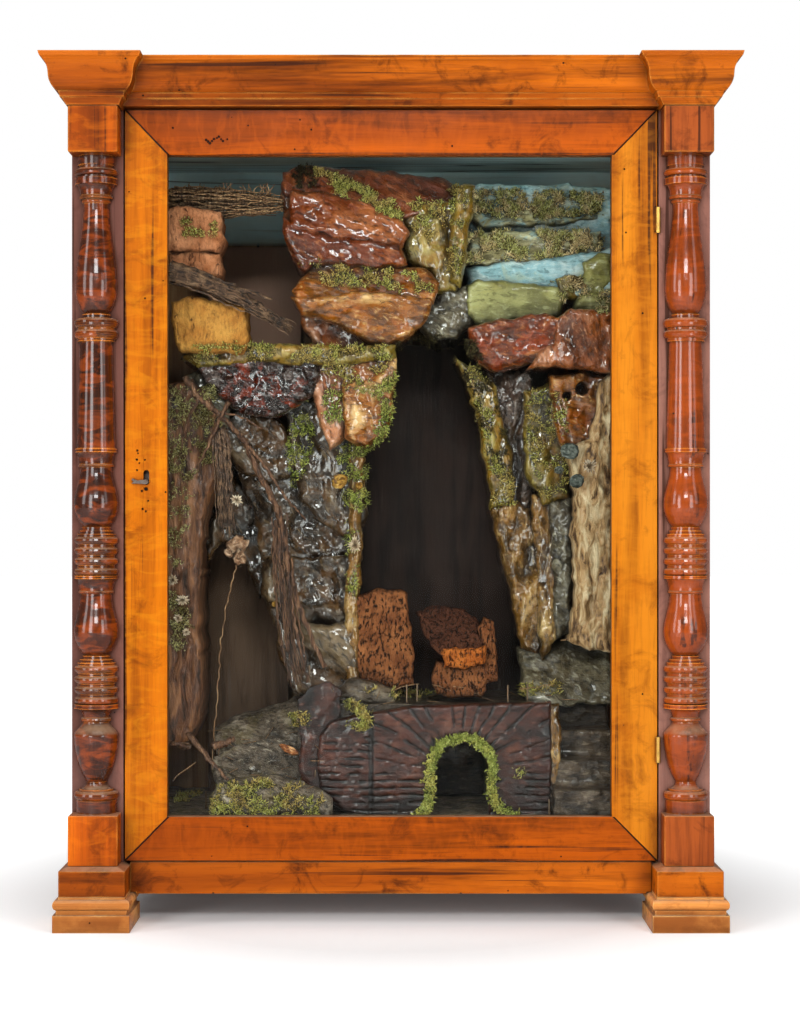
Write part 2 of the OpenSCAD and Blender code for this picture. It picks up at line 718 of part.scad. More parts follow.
module arch_outline(grow = 0) {
    translate([arch_mid, ground_z + arch_h - arch_w / 2]) circle(r = arch_w / 2 + grow);
    translate([arch_mid - arch_w / 2 - grow, ground_z - cut])
        square([arch_w + 2 * grow, arch_h - arch_w / 2 + cut]);
}

arch_hub = ground_z + arch_h - arch_w / 2;
arch_course = (arch_hub - ground_z) / arch_courses;
arch_front = inside_y(stage_y_share[0]) - arch_t;
arch_bend = inside_x(0.471);

// A level groove in the arch block's face
module level_groove(x0, x1, z)
    box([x0, arch_front - cut, z - groove_w / 2], [x1, arch_front + groove_d, z + groove_w / 2]);

// Grooves fanned out over the arch
module fan_grooves()
    intersection() {
        for (i = [0:arch_rays])
            translate([arch_mid, arch_front, arch_hub]) rotate([0, -i * 180 / arch_rays, 0])
                box([arch_w / 2 + arch_rim, -cut, -groove_w / 2],
                    [arch_w / 2 + 2 * stage_h, groove_d, groove_w / 2]);
        box([arch_bend + groove_w, arch_front - cut, ground_z],
            [inside_x(arch_share[1]) + cut, arch_front + groove_d, stage_z + cut]);
    }

// Level grooves beside the arch and on the end left of the bend
module course_grooves() {
    left = inside_x(arch_share[0]) - cut;
    right = inside_x(arch_share[1]) + cut;
    for (i = [1:arch_courses - 1]) {
        level_groove(arch_bend + groove_w, arch_mid - arch_w / 2 - arch_rim, ground_z + i * arch_course);
        level_groove(arch_mid + arch_w / 2 + arch_rim, right, ground_z + i * arch_course);
    }
    for (i = [1:floor((stage_h - arch_rim) / arch_course)])
        level_groove(left, arch_bend - groove_w, ground_z + i * arch_course);
    box([arch_bend - groove_w / 2, arch_front - cut, ground_z - cut],
        [arch_bend + groove_w / 2, arch_front + groove_d, stage_z + cut]);
}

module arch_block() color("#5a2a20")
    difference() {
        box([inside_x(arch_share[0]), arch_front, ground_z],
            [inside_x(arch_share[1]), inside_y(stage_y_share[0]), stage_z]);
        along_y(inside_y(0), inside_y(stage_y_share[0]) + cut) arch_outline();
        fan_grooves();
        course_grooves();
    }

module stage() color("dimgray")
    difference() {
        translate([0, 0, ground_z]) linear_extrude(stage_h)
            polygon([
                [inside_x(stage_share[0]), inside_y(stage_y_share[0])],
                [inside_x(arch_share[1]) + loose, inside_y(stage_y_share[0])],
                [inside_x(arch_share[1]) + loose, inside_y(stage_y_share[1])],
                [inside_x(stage_share[1]), inside_y(stage_y_share[1])],
                [inside_x(stage_share[1]), inside_y(stage_y_share[2])],
                [inside_x(stage_share[0]), inside_y(stage_y_share[2])]
            ]);
        along_y(inside_y(0), inside_y(stage_y_share[0]) + tunnel_d) arch_outline();
    }

module stone_steps() color("gray")
    along_x(inside_x(arch_share[1]) + 2 * loose, inside_x(stage_share[1])) {
        front = inside_y(steps_y_share);
        tread = (inside_y(stage_y_share[1]) - front) / (steps + 1);
        rise = stage_h / (steps + 1);
        for (i = [0:steps - 1])
            translate([front + i * tread, ground_z])
                square([inside_y(stage_y_share[1]) - front - i * tread, (i + 1) * rise]);
    }

module cave_back() color("#2a1a14")
    box([inside_x(0.4), inside_y(0.86), stage_z], [inside_x(0.79), inside_y(0.86) + dark_board_t, cave_top]);

module recess_boards() color("#3a2a22") {
    box([inside_x(0.162), inside_y(0.86), ground_z],
        [inside_x(0.31), inside_y(0.86) + dark_board_t, ledge_top]);
    box([inside_x(0.162), inside_y(0.86), ledge_top],
        [inside_x(0.333), inside_y(0.86) + dark_board_t, shelf_mid]);
}

module mounds() color("#5b5a48") {
    crag([0.199, 0.335], [0.34, 0.62], ground_z, inside_z(0.153), 3);
    crag([0.2, 0.33], [0.16, 0.33], ground_z, inside_z(0.09), 5, 3);
    crag([0.199, 0.385], [0.03, 0.14], ground_z, inside_z(0.074), 7, 3);
    crag([0.342, 0.381], [0.143, 0.2], ground_z, inside_z(0.18), 9);
    crag([0.345, 0.415], [0.2, 0.33], stage_z, stage_z + knoll_h, 11, 3);
}

module left_crags() color("#4a4640") {
    crag([0.342, 0.437], [0.4, 0.85], stage_z, inside_z(0.36), 13, 6);
    crag([0.325, 0.44], [0.38, 0.85], inside_z(0.36), inside_z(0.524), 15, 6,
        end_shares = [[0.1, 0.82], [0, 0.9]]);
    crag([0.315, 0.445], [0.36, 0.84], inside_z(0.524), ledge_z, 17, 4,
        end_shares = [[0.05, 0.86], [0, 1]]);
    crag([0.16, 0.312], [0.45, 0.82], recess_z, ledge_z, 19, 7, 0.25);
    crag([0.107, 0.158], [0.14, 0.48], ground_z, ledge_z, 21, 12, 0.25);
}

module ledge_rocks() color("#6a3020") {
    crag([0.15, 0.378], [0.15, 0.8], ledge_z, ledge_top, 23, 4);
    crag([0.38, 0.508], [0.17, 0.82], ledge_z, ledge_top, 25, 4);
}

module cork_blocks() color("peru") {
    crag([0.133, 0.251], [0.13, 0.36], ledge_top, cork_z, 27, 3, 0.1);
    crag([0.116, 0.209], [0.15, 0.42], cork_z, cork_mid, 29, 3, 0.12);
    crag([0.12, 0.21], [0.15, 0.42], cork_mid, cork_top, 31, 3, 0.12);
}

module ochre_rock() color("#a8702c")
    crag([0.331, 0.574], [0.15, 0.6], ledge_top, red_z, 33, 5,
        end_shares = [[0.3, 0.76], [0.1, 0.9], [0.02, 1], [0, 1], [0.05, 0.98], [0.1, 0.94]]);

module red_rock() color("#7a3020") {
    crag([0.325, 0.487], [0.24, 0.75], red_z, red_mid, 35, 4);
    crag([0.489, 0.58], [0.28, 0.75], red_z, red_mid, 37, 4);
    crag([0.312, 0.635], [0.2, 0.8], red_mid, red_top, 39, 5,
        end_shares = [[0.06, 1], [0, 1], [0, 1], [0.02, 0.97], [0.04, 0.8], [0.08, 0.62]]);
}

module olive_rocks() color("#5c5a2c") {
    crag([0.51, 0.642], [0.56, 0.855], lintel_z, cave_top, 41, 3);
    crag([0.576, 0.642], [0.3, 0.89], cave_top, olive_z, 43, 3);
    crag([0.582, 0.642], [0.26, 0.85], olive_z, red_mid, 45, 5);
}

module right_rocks() color("#9a4a28") {
    crag([0.644, 0.767], [0.11, 0.6], right_z, right_top, 47, 4);
    crag([0.769, 0.883], [0.13, 0.6], right_z, right_top, 49, 4);
}

module draped_rocks() color("#7fa08c") {
    crag([0.644, 0.754], [0.26, 0.82], right_top, drape_top, 51, 4, 0.12);
    crag([0.756, 0.883], [0.24, 0.82], right_top, drape_top, 53, 4, 0.12);
}

module mossy_ledges() color("#6b7030") {
    crag([0.644, 0.883], [0.37, 0.88], drape_top, shelf_mid, 55, 3, 0.12);
    crag([0.646, 0.878], [0.48, 0.92], shelf_mid, shelf_top, 57, 3, 0.12);
}

module right_crags() color("#8a6a3a") {
    crag([0.715, 0.881], [0.34, 0.855], stage_z, slope_z, 59, 3);
    crag([0.69, 0.788], [0.4, 0.855], slope_z, fold_z, 61, 6, 0.25, [[0.3, 1], [0.15, 1], [0, 1]]);
    crag([0.792, 0.882], [0.2, 0.68], slope_z, bark_z, 63, 8, 0.15);
    crag([0.79, 0.883], [0.2, 0.7], bark_z, right_z, 65, 5);
    crag([0.655, 0.786], [0.38, 0.855], fold_z, right_z, 67, 6, 0.25,
        [[0.26, 1], [0.2, 1], [0.08, 1], [0, 1]]);
}

module stage_corks() color("peru") {
    crag([0.437, 0.534], [0.3, 0.48], stage_z, inside_z(0.344), 69, 6, 0.1);
    crag([0.578, 0.666], [0.27, 0.45], stage_z, inside_z(0.239), 71, 3, 0.1);
    crag([0.561, 0.668], [0.25, 0.49], inside_z(0.239), inside_z(0.316), 73, 4, 0.12);
    crag([0.669, 0.686], [0.3, 0.49], stage_z, inside_z(0.3), 75, 5, 0.1);
}

// A straight stick of eight sides from one point to another
module stick(from, to, r) {
    way = to - from;
    translate(from) rotate([0, acos(way[2] / norm(way)), atan2(way[1], way[0])])
        cylinder(r = r, h = norm(way), $fn = 8);
}

// The leaning branch, as shares across, in depth and in height, and its foot on the knoll
branch_shares = [[0.157, 0.13, 0.645], [0.202, 0.12, 0.604], [0.258, 0.12, 0.549], [0.304, 0.13, 0.468]];
branch_foot = [inside_x(0.382), inside_y(0.235), stage_z + knoll_h + branch_r * 5 / 6];
// The stick that leans against the front of the cork, from its upper end to its lower one
fallen_shares = [[0.126, 0.138, 0.808], [0.32, 0.153, 0.727]];
bundle_rows = 3;
module twigs() color("sienna") {
    points = concat([for (p = branch_shares) inside(p)], [branch_foot]);
    for (i = [0:len(points) - 2]) {
        way = points[i + 1] - points[i];
        stick(points[i], points[i + 1] + way / norm(way) * branch_r / 2, branch_r);
    }
    stick(inside(fallen_shares[0]), inside(fallen_shares[1]), branch_r);
    for (row = [0:bundle_rows - 1]) for (i = [0:4 - row]) {
        y = inside_y(0.2) + (i + row / 2) * 2 * stick_r;
        z = cork_top + stick_r * (1 + 1.75 * row);
        fan = (noise(i, row, 2) - 0.5) * stick_r;
        x0 = inside_x(0.123 + 0.01 * noise(i, row, 4));
        x1 = inside_x(0.315 - 0.02 * noise(i, row, 6));
        stick([x0, y, z], [x1, y + fan, z], stick_r);
    }
}

// Pegs by shares across and in depth, with the height that they stand on
peg_shares = [[0.527, 0.24], [0.545, 0.29], [0.735, 0.27], [0.7, 0.22], [0.36, 0.245]];
ground_peg_shares = [[0.765, 0.06], [0.18, 0.3]];
module figure_pegs() color("silver") {
    for (p = peg_shares)
        translate([inside_x(p[0]), inside_y(p[1]), p[0] < 0.4 ? stage_z + knoll_h : stage_z])
            cylinder(r = peg_r, h = peg_h);
    for (p = ground_peg_shares)
        translate([inside_x(p[0]), inside_y(p[1]), ground_z])
            cylinder(r = peg_r, h = peg_h);
}

placed() foot(-1);  // foot_left
placed() foot(1);  // foot_right
placed() plinth(-1);  // plinth_left
placed() plinth(1);  // plinth_right
placed() bottom_rail();
placed() base_side_rails();
placed() rear_feet();
placed() side_panel(-1);  // side_panel_left
placed() side_panel(1);  // side_panel_right
placed() top_board();
placed() floor_board();
placed() back_panel();
placed() front_board_left();
placed() front_board_right();
placed() pedestal(-1);  // pedestal_left
placed() pedestal(1);  // pedestal_right
placed() column(-1);  // column_left
placed() column(1);  // column_right
placed() capital(-1);  // capital_left
placed() capital(1);  // capital_right
placed() cornice_block(-1);  // cornice_left
placed() cornice_block(1);  // cornice_right
placed() cornice_centre();
placed() cornice_side(-1);  // cornice_side_left
placed() cornice_side(1);  // cornice_side_right
placed() door_lock_stile();
placed() door_hinge_stile();
placed() door_top_rail();
placed() door_bottom_rail();
placed() glass_pane();
placed() glazing_beads();
placed() hinge_case_leaves();
placed() hinge_door_leaves();
placed() case_screws();
placed() door_screws();
placed() hinge_pins();
placed() lock_case();
placed() lock_bolt();
placed() key_stub();
placed() strike_plate();
placed() ground();
placed() arch_block();
placed() stage();
placed() stone_steps();
placed() cave_back();
placed() recess_boards();
placed() mounds();
placed() left_crags();
placed() ledge_rocks();
placed() cork_blocks();
placed() ochre_rock();
placed() red_rock();
placed() olive_rocks();
placed() right_rocks();
placed() draped_rocks();
placed() mossy_ledges();
placed() right_crags();
placed() stage_corks();
placed() twigs();
placed() figure_pegs();
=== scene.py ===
import math

import bpy
import numpy as np
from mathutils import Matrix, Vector
from mathutils.bvhtree import BVHTree


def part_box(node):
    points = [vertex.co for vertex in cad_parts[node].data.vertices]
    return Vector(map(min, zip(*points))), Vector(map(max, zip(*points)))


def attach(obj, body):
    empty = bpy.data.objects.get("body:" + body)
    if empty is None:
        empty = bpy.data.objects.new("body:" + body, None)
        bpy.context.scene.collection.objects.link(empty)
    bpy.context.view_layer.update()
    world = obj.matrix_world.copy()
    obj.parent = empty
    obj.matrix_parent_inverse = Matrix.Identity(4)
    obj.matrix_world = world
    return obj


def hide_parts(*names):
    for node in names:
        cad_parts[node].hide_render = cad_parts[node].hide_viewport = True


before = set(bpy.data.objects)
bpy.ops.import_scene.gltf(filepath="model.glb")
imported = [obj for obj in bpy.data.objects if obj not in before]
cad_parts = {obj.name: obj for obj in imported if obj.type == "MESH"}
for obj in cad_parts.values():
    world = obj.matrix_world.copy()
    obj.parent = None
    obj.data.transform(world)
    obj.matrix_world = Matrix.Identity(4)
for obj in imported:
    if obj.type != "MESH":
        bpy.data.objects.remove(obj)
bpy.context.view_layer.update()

# Point of view. The photograph is 800 by 1015 pixels, and the camera's axis meets it at AXIS_X, AXIS_Y.
PHOTO_W = 800
PHOTO_H = 1015
AXIS_X = 391
AXIS_Y = 530
SENSOR = 36.0
EYE_HEIGHT = 0.3848
BLOCK_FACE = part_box("pedestal_left")[0][1]
BOARD_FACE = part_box("front_board_left")[0][1]
PIXEL = 0.00096
VIEW_DISTANCE = 2.0
FOCAL_PIXELS = VIEW_DISTANCE / PIXEL
EYE = Vector((0.0, BLOCK_FACE - VIEW_DISTANCE, EYE_HEIGHT))
WHITE = (1, 1, 1, 1)


def seen_at(px, py, depth):
    """The point that shows at a pixel, at a depth in metres behind the front boards' face."""
    y = BOARD_FACE + depth
    reach = (y - EYE.y) / FOCAL_PIXELS
    return Vector(((px - AXIS_X) * reach, y, EYE.z + (AXIS_Y - py) * reach))


def rows(text):
    """Tuples of numbers from a text: commas inside a tuple, spaces between tuples."""
    return [tuple(float(value) for value in item.split(",")) for item in text.split()]


def paint(red, green, blue):
    """A colour from 0 to 255 a channel, as it should look, in the linear values that shaders take."""
    share = [value / 255 for value in (red, green, blue)]
    linear = [s / 12.92 if s <= 0.04045 else ((s + 0.055) / 1.055) ** 2.4 for s in share]
    return (*linear, 1.0)


def paints(text):
    """Colours from a text with three channels each."""
    return [paint(*channels) for channels in rows(text)]


class Tree:
    """A node tree that is built with one short call for each node."""

    def __init__(self, owner):
        owner.use_nodes = True
        self.tree = owner.node_tree

    def node(self, kind, inputs=None, **settings):
        node = self.tree.nodes.new(kind)
        for key, value in settings.items():
            setattr(node, key, value)
        for key, value in (inputs or {}).items():
            self.join(node.inputs[key], value)
        return node

    def join(self, socket, value):
        if isinstance(value, bpy.types.NodeSocket):
            self.tree.links.new(value, socket)
        else:
            socket.default_value = value

    def seen_by_camera(self, other, seen):
        """One shader for what the camera sees, and another one for the rest of the light."""
        path = self.node("ShaderNodeLightPath").outputs["Is Camera Ray"]
        return self.node("ShaderNodeMixShader", {"Fac": path, 1: other, 2: seen}).outputs[0]


# Camera, floor and light
LAMPS = (("lamp_left", -62, 0.9, 2.3, (0.55, 1.3), 13),
         ("lamp_right", 52, 1.0, 2.4, (0.55, 1.3), 6),
         ("lamp_front_left", -30, 0.56, 1.7, (0.42, 0.9), 12),
         ("lamp_front_right", 30, 0.56, 1.7, (0.42, 0.9), 9),
         ("lamp_high", 0, 1.78, 3.6, (1.2, 0.4), 42),
         ("lamp_top", 5, 2.7, 1.1, (2.2, 1.6), 16))
LAMP_AIM = Vector((0, 0, 0.42))


def make_camera():
    data = bpy.data.cameras.new("camera")
    data.sensor_width = SENSOR
    data.lens = SENSOR * FOCAL_PIXELS / PHOTO_H
    data.shift_x = (PHOTO_W / 2 - AXIS_X) / PHOTO_H
    data.shift_y = (AXIS_Y - PHOTO_H / 2) / PHOTO_H
    camera = bpy.data.objects.new("camera", data)
    camera.location = EYE
    camera.rotation_euler = (math.radians(90), 0, 0)
    bpy.context.scene.collection.objects.link(camera)
    bpy.context.scene.camera = camera


def make_lamp(name, azimuth, height, distance, size, power):
    """A large soft lamp, its azimuth counted from the front towards the right."""
    data = bpy.data.lights.new(name, "AREA")
    data.shape = "RECTANGLE"
    data.size, data.size_y = size
    data.energy = power
    lamp = bpy.data.objects.new(name, data)
    turn = math.radians(azimuth)
    lamp.location = (distance * math.sin(turn), -distance * math.cos(turn), height)
    lamp.rotation_euler = (LAMP_AIM - lamp.location).to_track_quat("-Z", "Y").to_euler()
    bpy.context.scene.collection.objects.link(lamp)


def make_world():
    """White to the camera, and weak even light for the rest."""
    world = bpy.data.worlds.new("studio")
    bpy.context.scene.world = world
    f = Tree(world)
    light = f.tree.nodes["Background"]
    light.inputs["Color"].default_value = WHITE
    light.inputs["Strength"].default_value = 0.15
    white = f.node("ShaderNodeBackground", {"Color": WHITE, "Strength": 1.0})
    both = f.seen_by_camera(light.outputs[0], white.outputs[0])
    f.join(f.tree.nodes["World Output"].inputs["Surface"], both)


def make_floor():
    """A white floor that fades into the background away from the case."""
    bpy.ops.mesh.primitive_plane_add(size=30, location=(0, 0, 0))
    floor = bpy.context.object
    floor.name = "floor"
    material = bpy.data.materials.new("floor_white")
    f = Tree(material)
    f.tree.nodes.remove(f.tree.nodes["Principled BSDF"])
    cover = f.node("ShaderNodeBsdfDiffuse", {"Color": (0.94, 0.94, 0.94, 1)})
    place = f.node("ShaderNodeTexCoord").outputs["Object"]
    away = f.node("ShaderNodeVectorMath", {0: place}, operation="LENGTH").outputs["Value"]
    fade = f.node("ShaderNodeMapRange", {0: away, 1: 0.25, 2: 0.7, 3: 0.03, 4: 1.0})
    glow = f.node("ShaderNodeEmission", {"Strength": fade.outputs[0]})
    hidden = f.node("ShaderNodeEmission", {"Strength": 0.0})
    seen = f.seen_by_camera(hidden.outputs[0], glow.outputs[0])
    both = f.node("ShaderNodeAddShader", {0: cover.outputs[0], 1: seen})
    f.join(f.tree.nodes["Material Output"].inputs["Surface"], both.outputs[0])
    floor.data.materials.append(material)


make_camera()
make_world()
make_floor()
for lamp in LAMPS:
    make_lamp(*lamp)
bpy.context.scene.view_settings.view_transform = "Standard"


# Materials
class Finish(Tree):
    """A material with a shader, and short calls for the patterns that feed it."""

    def __init__(self, name, roughness=0.5, coat=0.0, coat_roughness=0.1, metallic=0.0, specular=0.5):
        self.material = bpy.data.materials.new(name)
        super().__init__(self.material)
        self.shader = self.tree.nodes["Principled BSDF"]
        for socket, value in (("Roughness", roughness), ("Coat Weight", coat),
                              ("Coat Roughness", coat_roughness), ("Metallic", metallic),
                              ("Specular IOR Level", specular)):
            self.shader.inputs[socket].default_value = value
        self.place = self.node("ShaderNodeTexCoord").outputs["Object"]

    def stretch(self, scale, turn=(0, 0, 0), shift=(0, 0, 0)):
        angles = tuple(math.radians(a) for a in turn)
        inputs = {"Vector": self.place, "Scale": scale, "Rotation": angles, "Location": shift}
        return self.node("ShaderNodeMapping", inputs).outputs["Vector"]

    def noise(self, scale, detail=4.0, rough=0.55, at=None, warp=0.0):
        inputs = {"Vector": at or self.place, "Scale": scale, "Detail": detail}
        inputs |= {"Roughness": rough, "Distortion": warp}
        return self.node("ShaderNodeTexNoise", inputs).outputs["Fac"]

    def strokes(self, scale, lean, stretch=4.0):
        """Noise drawn out along a direction that falls to the right by this many degrees."""
        inputs = {"Vector": self.place, "Scale": (stretch, 1, 1), "Rotation": (0, math.radians(lean), 0)}
        at = self.node("ShaderNodeMapping", inputs, vector_type="TEXTURE").outputs["Vector"]
        return self.noise(scale, 5, 0.62, at, 0.5)

    def levels(self, value, low, high, to_low=0.0, to_high=1.0):
        inputs = {"Value": value, "From Min": low, "From Max": high, "To Min": to_low, "To Max": to_high}
        return self.node("ShaderNodeMapRange", inputs).outputs["Result"]

    def math(self, how, a, b=0.0):
        return self.node("ShaderNodeMath", {0: a, 1: b}, operation=how).outputs["Value"]

    def times(self, a, b):
        return self.math("MULTIPLY", a, b)

    def plus(self, a, b):
        return self.math("ADD", a, b)

    def minus(self, a, b):
        return self.math("SUBTRACT", a, b)

    def size(self, a):
        return self.math("ABSOLUTE", a)

    def mix(self, share, a, b):
        return self.node("ShaderNodeMix", {0: share, 6: a, 7: b}, data_type="RGBA").outputs[2]

    def over(self, colour, value, low, high, share, other):
        """The colour, with this share of another one where the value goes from low to high."""
        return self.mix(self.levels(value, low, high, 0.0, share), colour, other)

    def shaded(self, colour, reach, share, shade_and_grime):
        """The colour, darkened towards another colour in the hollow corners as painted shade, down to none
        this far out of them.
        """
        return self.mix(self.times(self.corners(reach), share), colour, shade_and_grime)

    def parts(self, vector):
        return self.node("ShaderNodeSeparateXYZ", {0: vector}).outputs

    def tone(self):
        """The height that each vertex of a modelled piece carries."""
        return self.node("ShaderNodeAttribute", attribute_name="tone").outputs["Fac"]

    def ramp(self, value, stops):
        node = self.node("ShaderNodeValToRGB", {"Fac": value})
        parts = node.color_ramp.elements
        while len(parts) < len(stops):
            parts.new(0.5)
        for part, (position, colour) in zip(parts, stops):
            part.position = position
            part.color = colour
        return node.outputs["Color"]

    def holes(self, cell, radius, share, seed=0.0):
        """1 in small round holes, one to a cell of that size, in that share of the cells."""
        at = self.stretch((1 / cell,) * 3, shift=(seed, seed, seed))
        cells = self.node("ShaderNodeTexVoronoi", {"Vector": at, "Scale": 1.0})
        near = self.levels(cells.outputs["Distance"], radius / cell * 0.7, radius / cell, 1.0, 0.0)
        level = self.node("ShaderNodeSeparateColor", {"Color": cells.outputs["Color"]}).outputs["Red"]
        return self.times(near, self.math("LESS_THAN", level, share))

    def creases(self, scale):
        """Flat facets between creases, like crumpled paper."""
        wander = self.noise(scale * 0.4, 3, 0.6)
        moved = self.node("ShaderNodeVectorMath", {0: self.place}, operation="ADD")
        self.join(moved.inputs[1], self.times(wander, 0.8 / scale))
        inputs = {"Vector": moved.outputs["Vector"], "Scale": scale}
        return self.node("ShaderNodeTexVoronoi", inputs, distance="MANHATTAN").outputs["Distance"]

    def corners(self, reach):
        """1 in hollow corners, down to 0 this far out of them."""
        open_share = self.node("ShaderNodeAmbientOcclusion", {"Distance": reach}, samples=8).outputs["AO"]
        return self.levels(open_share, 0.35, 0.95, 1.0, 0.0)

    def edges(self, reach):
        """1 on the sharp edges, down to 0 this far from them."""
        soft = self.node("ShaderNodeBevel", {"Radius": reach}, samples=6).outputs["Normal"]
        true = self.node("ShaderNodeNewGeometry").outputs["True Normal"]
        same = self.node("ShaderNodeVectorMath", {0: soft, 1: true}, operation="DOT_PRODUCT")
        return self.levels(same.outputs["Value"], 0.999, 0.85)

    def bump(self, height, depth, after=None):
        inputs = {"Height": height, "Distance": depth, "Strength": 1.0}
        if after:
            inputs["Normal"] = after
        return self.node("ShaderNodeBump", inputs).outputs["Normal"]

    def finish(self, colour, roughness=None, normal=None):
        for name, value in (("Base Color", colour), ("Roughness", roughness), ("Normal", normal)):
            if value is not None:
                self.join(self.shader.inputs[name], value)
        return self.material


# Dark brown for dirt in the grain, and for painted shade with dirt in the hollow corners.
GRIME_AND_SHADE = paint(52, 24, 12)
HOLE_DARK = paint(18, 9, 6)
WOOD_DUST = paint(196, 160, 128)
GRAIN_STRETCH = {"x": (0.05, 1, 1), "z": (1, 1, 0.05)}
GRAIN_TURN = {"x": (0, 1.2, 0.8), "z": (1.2, 0.8, 0)}
DOOR_LEFT, DOOR_FACE, DOOR_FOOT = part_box("door_lock_stile")[0]
SIGHT_LEFT, _, DOOR_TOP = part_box("door_lock_stile")[1]
DOOR_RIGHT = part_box("door_hinge_stile")[1][0]
DOOR_DEPTH = DOOR_FACE - BOARD_FACE
SIGHT_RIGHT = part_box("door_hinge_stile")[0][0]
SIGHT_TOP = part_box("door_top_rail")[0][2]
SIGHT_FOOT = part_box("door_bottom_rail")[1][2]


def near_marks(f, marks):
    """1 on dark marks on the front: each a pixel and a radius in metres."""
    place = f.parts(f.place)
    wander = f.times(f.minus(f.noise(260, 3, 0.6), 0.5), 0.0022)
    total = 0.0
    for px, py, radius in marks:
        spot = seen_at(px, py, DOOR_DEPTH)
        across = f.minus(place["X"], spot.x)
        up = f.minus(place["Z"], spot.z)
        gap = f.math("SQRT", f.plus(f.times(across, across), f.times(up, up)))
        total = f.math("MAXIMUM", total, f.levels(f.plus(gap, wander), 0.6 * radius, radius, 1.0, 0.0))
    return total


def mitre_lines(f):
    """1 along the mitred joints of the door's frame."""
    place = f.parts(f.place)
    side = f.size(f.minus(place["X"], (DOOR_LEFT + DOOR_RIGHT) / 2))
    wander = f.times(f.minus(f.noise(45, 3, 0.6), 0.5), 0.0014)
    half = (DOOR_RIGHT - DOOR_LEFT) / 2
    run = half - (SIGHT_RIGHT - SIGHT_LEFT) / 2
    total = 0.0
    for end, inner_end in ((DOOR_TOP, SIGHT_TOP), (DOOR_FOOT, SIGHT_FOOT)):
        rise = abs(end - inner_end)
        length = math.hypot(run, rise)
        up = f.size(f.minus(place["Z"], end))
        out = f.minus(half, side)
        gap = f.minus(f.times(out, rise / length), f.times(up, run / length))
        line = f.levels(f.size(f.plus(gap, wander)), 0.0004, 0.0009, 1.0, 0.0)
        total = f.math("MAXIMUM", total, f.times(line, f.math("LESS_THAN", up, rise)))
    return total


def wood(name, along, colours, streaks=0.45, gloss=0.3, coat=0.09, curl=0.0, shade_and_grime=0.75, wear=None,
         corner=0.03, marks=None, mitres=False, specular=0.05):
    """Polished wood: broad tone, streaks and fine pores along the grain, dirt and painted shade in corners,
    worm holes.
    """
    pale, mid, dark = paints(colours)
    f = Finish(name, coat=coat, coat_roughness=0.1, specular=specular)
    stretch = GRAIN_STRETCH[along]
    along_grain = f.stretch(stretch, GRAIN_TURN[along])
    broad = f.noise(9, 4, 0.55, along_grain, 0.6)
    colour = f.ramp(broad, [(0.34, dark), (0.5, mid), (0.64, pale)])
    colour = f.over(colour, f.noise(42, 6, 0.66, along_grain, 0.4), 0.5, 0.64, streaks, dark)
    colour = f.over(colour, f.noise(17, 5, 0.62), 0.5, 0.66, 0.45, mid)
    colour = f.over(colour, f.noise(30, 6, 0.7, warp=0.7), 0.53, 0.68, streaks, dark)
    finer = f.stretch([0.4 * part if part < 1 else part for part in stretch], GRAIN_TURN[along])
    colour = f.over(colour, f.noise(150, 3, 0.5, finer), 0.62, 0.68, 0.85, GRIME_AND_SHADE)
    pores = f.noise(420, 3, 0.7, along_grain)
    colour = f.over(colour, pores, 0.5, 0.72, 0.28, dark)
    if curl:
        across = f.stretch([0.35 if part == 1 else 1 for part in stretch], (4, -3, 0))
        colour = f.over(colour, f.noise(95, 3, 0.55, across, 1.2), 0.46, 0.66, curl, pale)
    if wear:
        worn = f.times(f.edges(0.0022), f.levels(f.noise(30, 4), 0.35, 0.6))
        colour = f.mix(worn, colour, wear)
    # Darker in the hollow corners, broken up by noise: painted shade with dirt.
    corner_shade_and_grime = f.times(f.corners(corner), f.levels(f.noise(60, 4), 0.2, 0.6, 0.55, 1.0))
    colour = f.mix(f.times(corner_shade_and_grime, shade_and_grime), colour, GRIME_AND_SHADE)
    bored = f.holes(0.016, 0.0011, 0.35)
    if marks:
        bored = f.math("MAXIMUM", bored, near_marks(f, marks))
    if mitres:
        bored = f.math("MAXIMUM", bored, mitre_lines(f))
    colour = f.mix(bored, colour, HOLE_DARK)
    upward = f.parts(f.node("ShaderNodeNewGeometry").outputs["Normal"])["Z"]
    dusty = f.levels(f.noise(70, 5, 0.65), 0.3, 0.6, 0.3, 1.0)
    lying = f.times(f.levels(upward, 0.25, 0.8, 0.0, 0.45), dusty)
    colour = f.mix(lying, colour, WOOD_DUST)
    rough = f.levels(f.noise(24, 5, 0.6), 0.3, 0.75, gloss, gloss + 0.16)
    normal = f.bump(f.noise(5, 2, 0.5), 0.0009)
    normal = f.bump(pores, 0.00006, normal)
    normal = f.bump(f.times(bored, -1.0), 0.0012, normal)
    return f.finish(colour, rough, normal)


def use(material, names):
    """Gives a material to nodes that keep their own shape."""
    for name in names.split():
        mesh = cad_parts[name].data
        mesh.materials.clear()
        mesh.materials.append(material)


def soften(width, names):
    """Rounds the edges of nodes that keep their own shape."""
    for name in names.split():
        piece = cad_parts[name]
        weld = piece.modifiers.new("weld", "WELD")
        weld.merge_threshold = 0.00001
        bevel = piece.modifiers.new("bevel", "BEVEL")
        bevel.width = width
        bevel.segments = 2
        bevel.limit_method = "ANGLE"
        bevel.angle_limit = math.radians(28)
        bevel.harden_normals = True


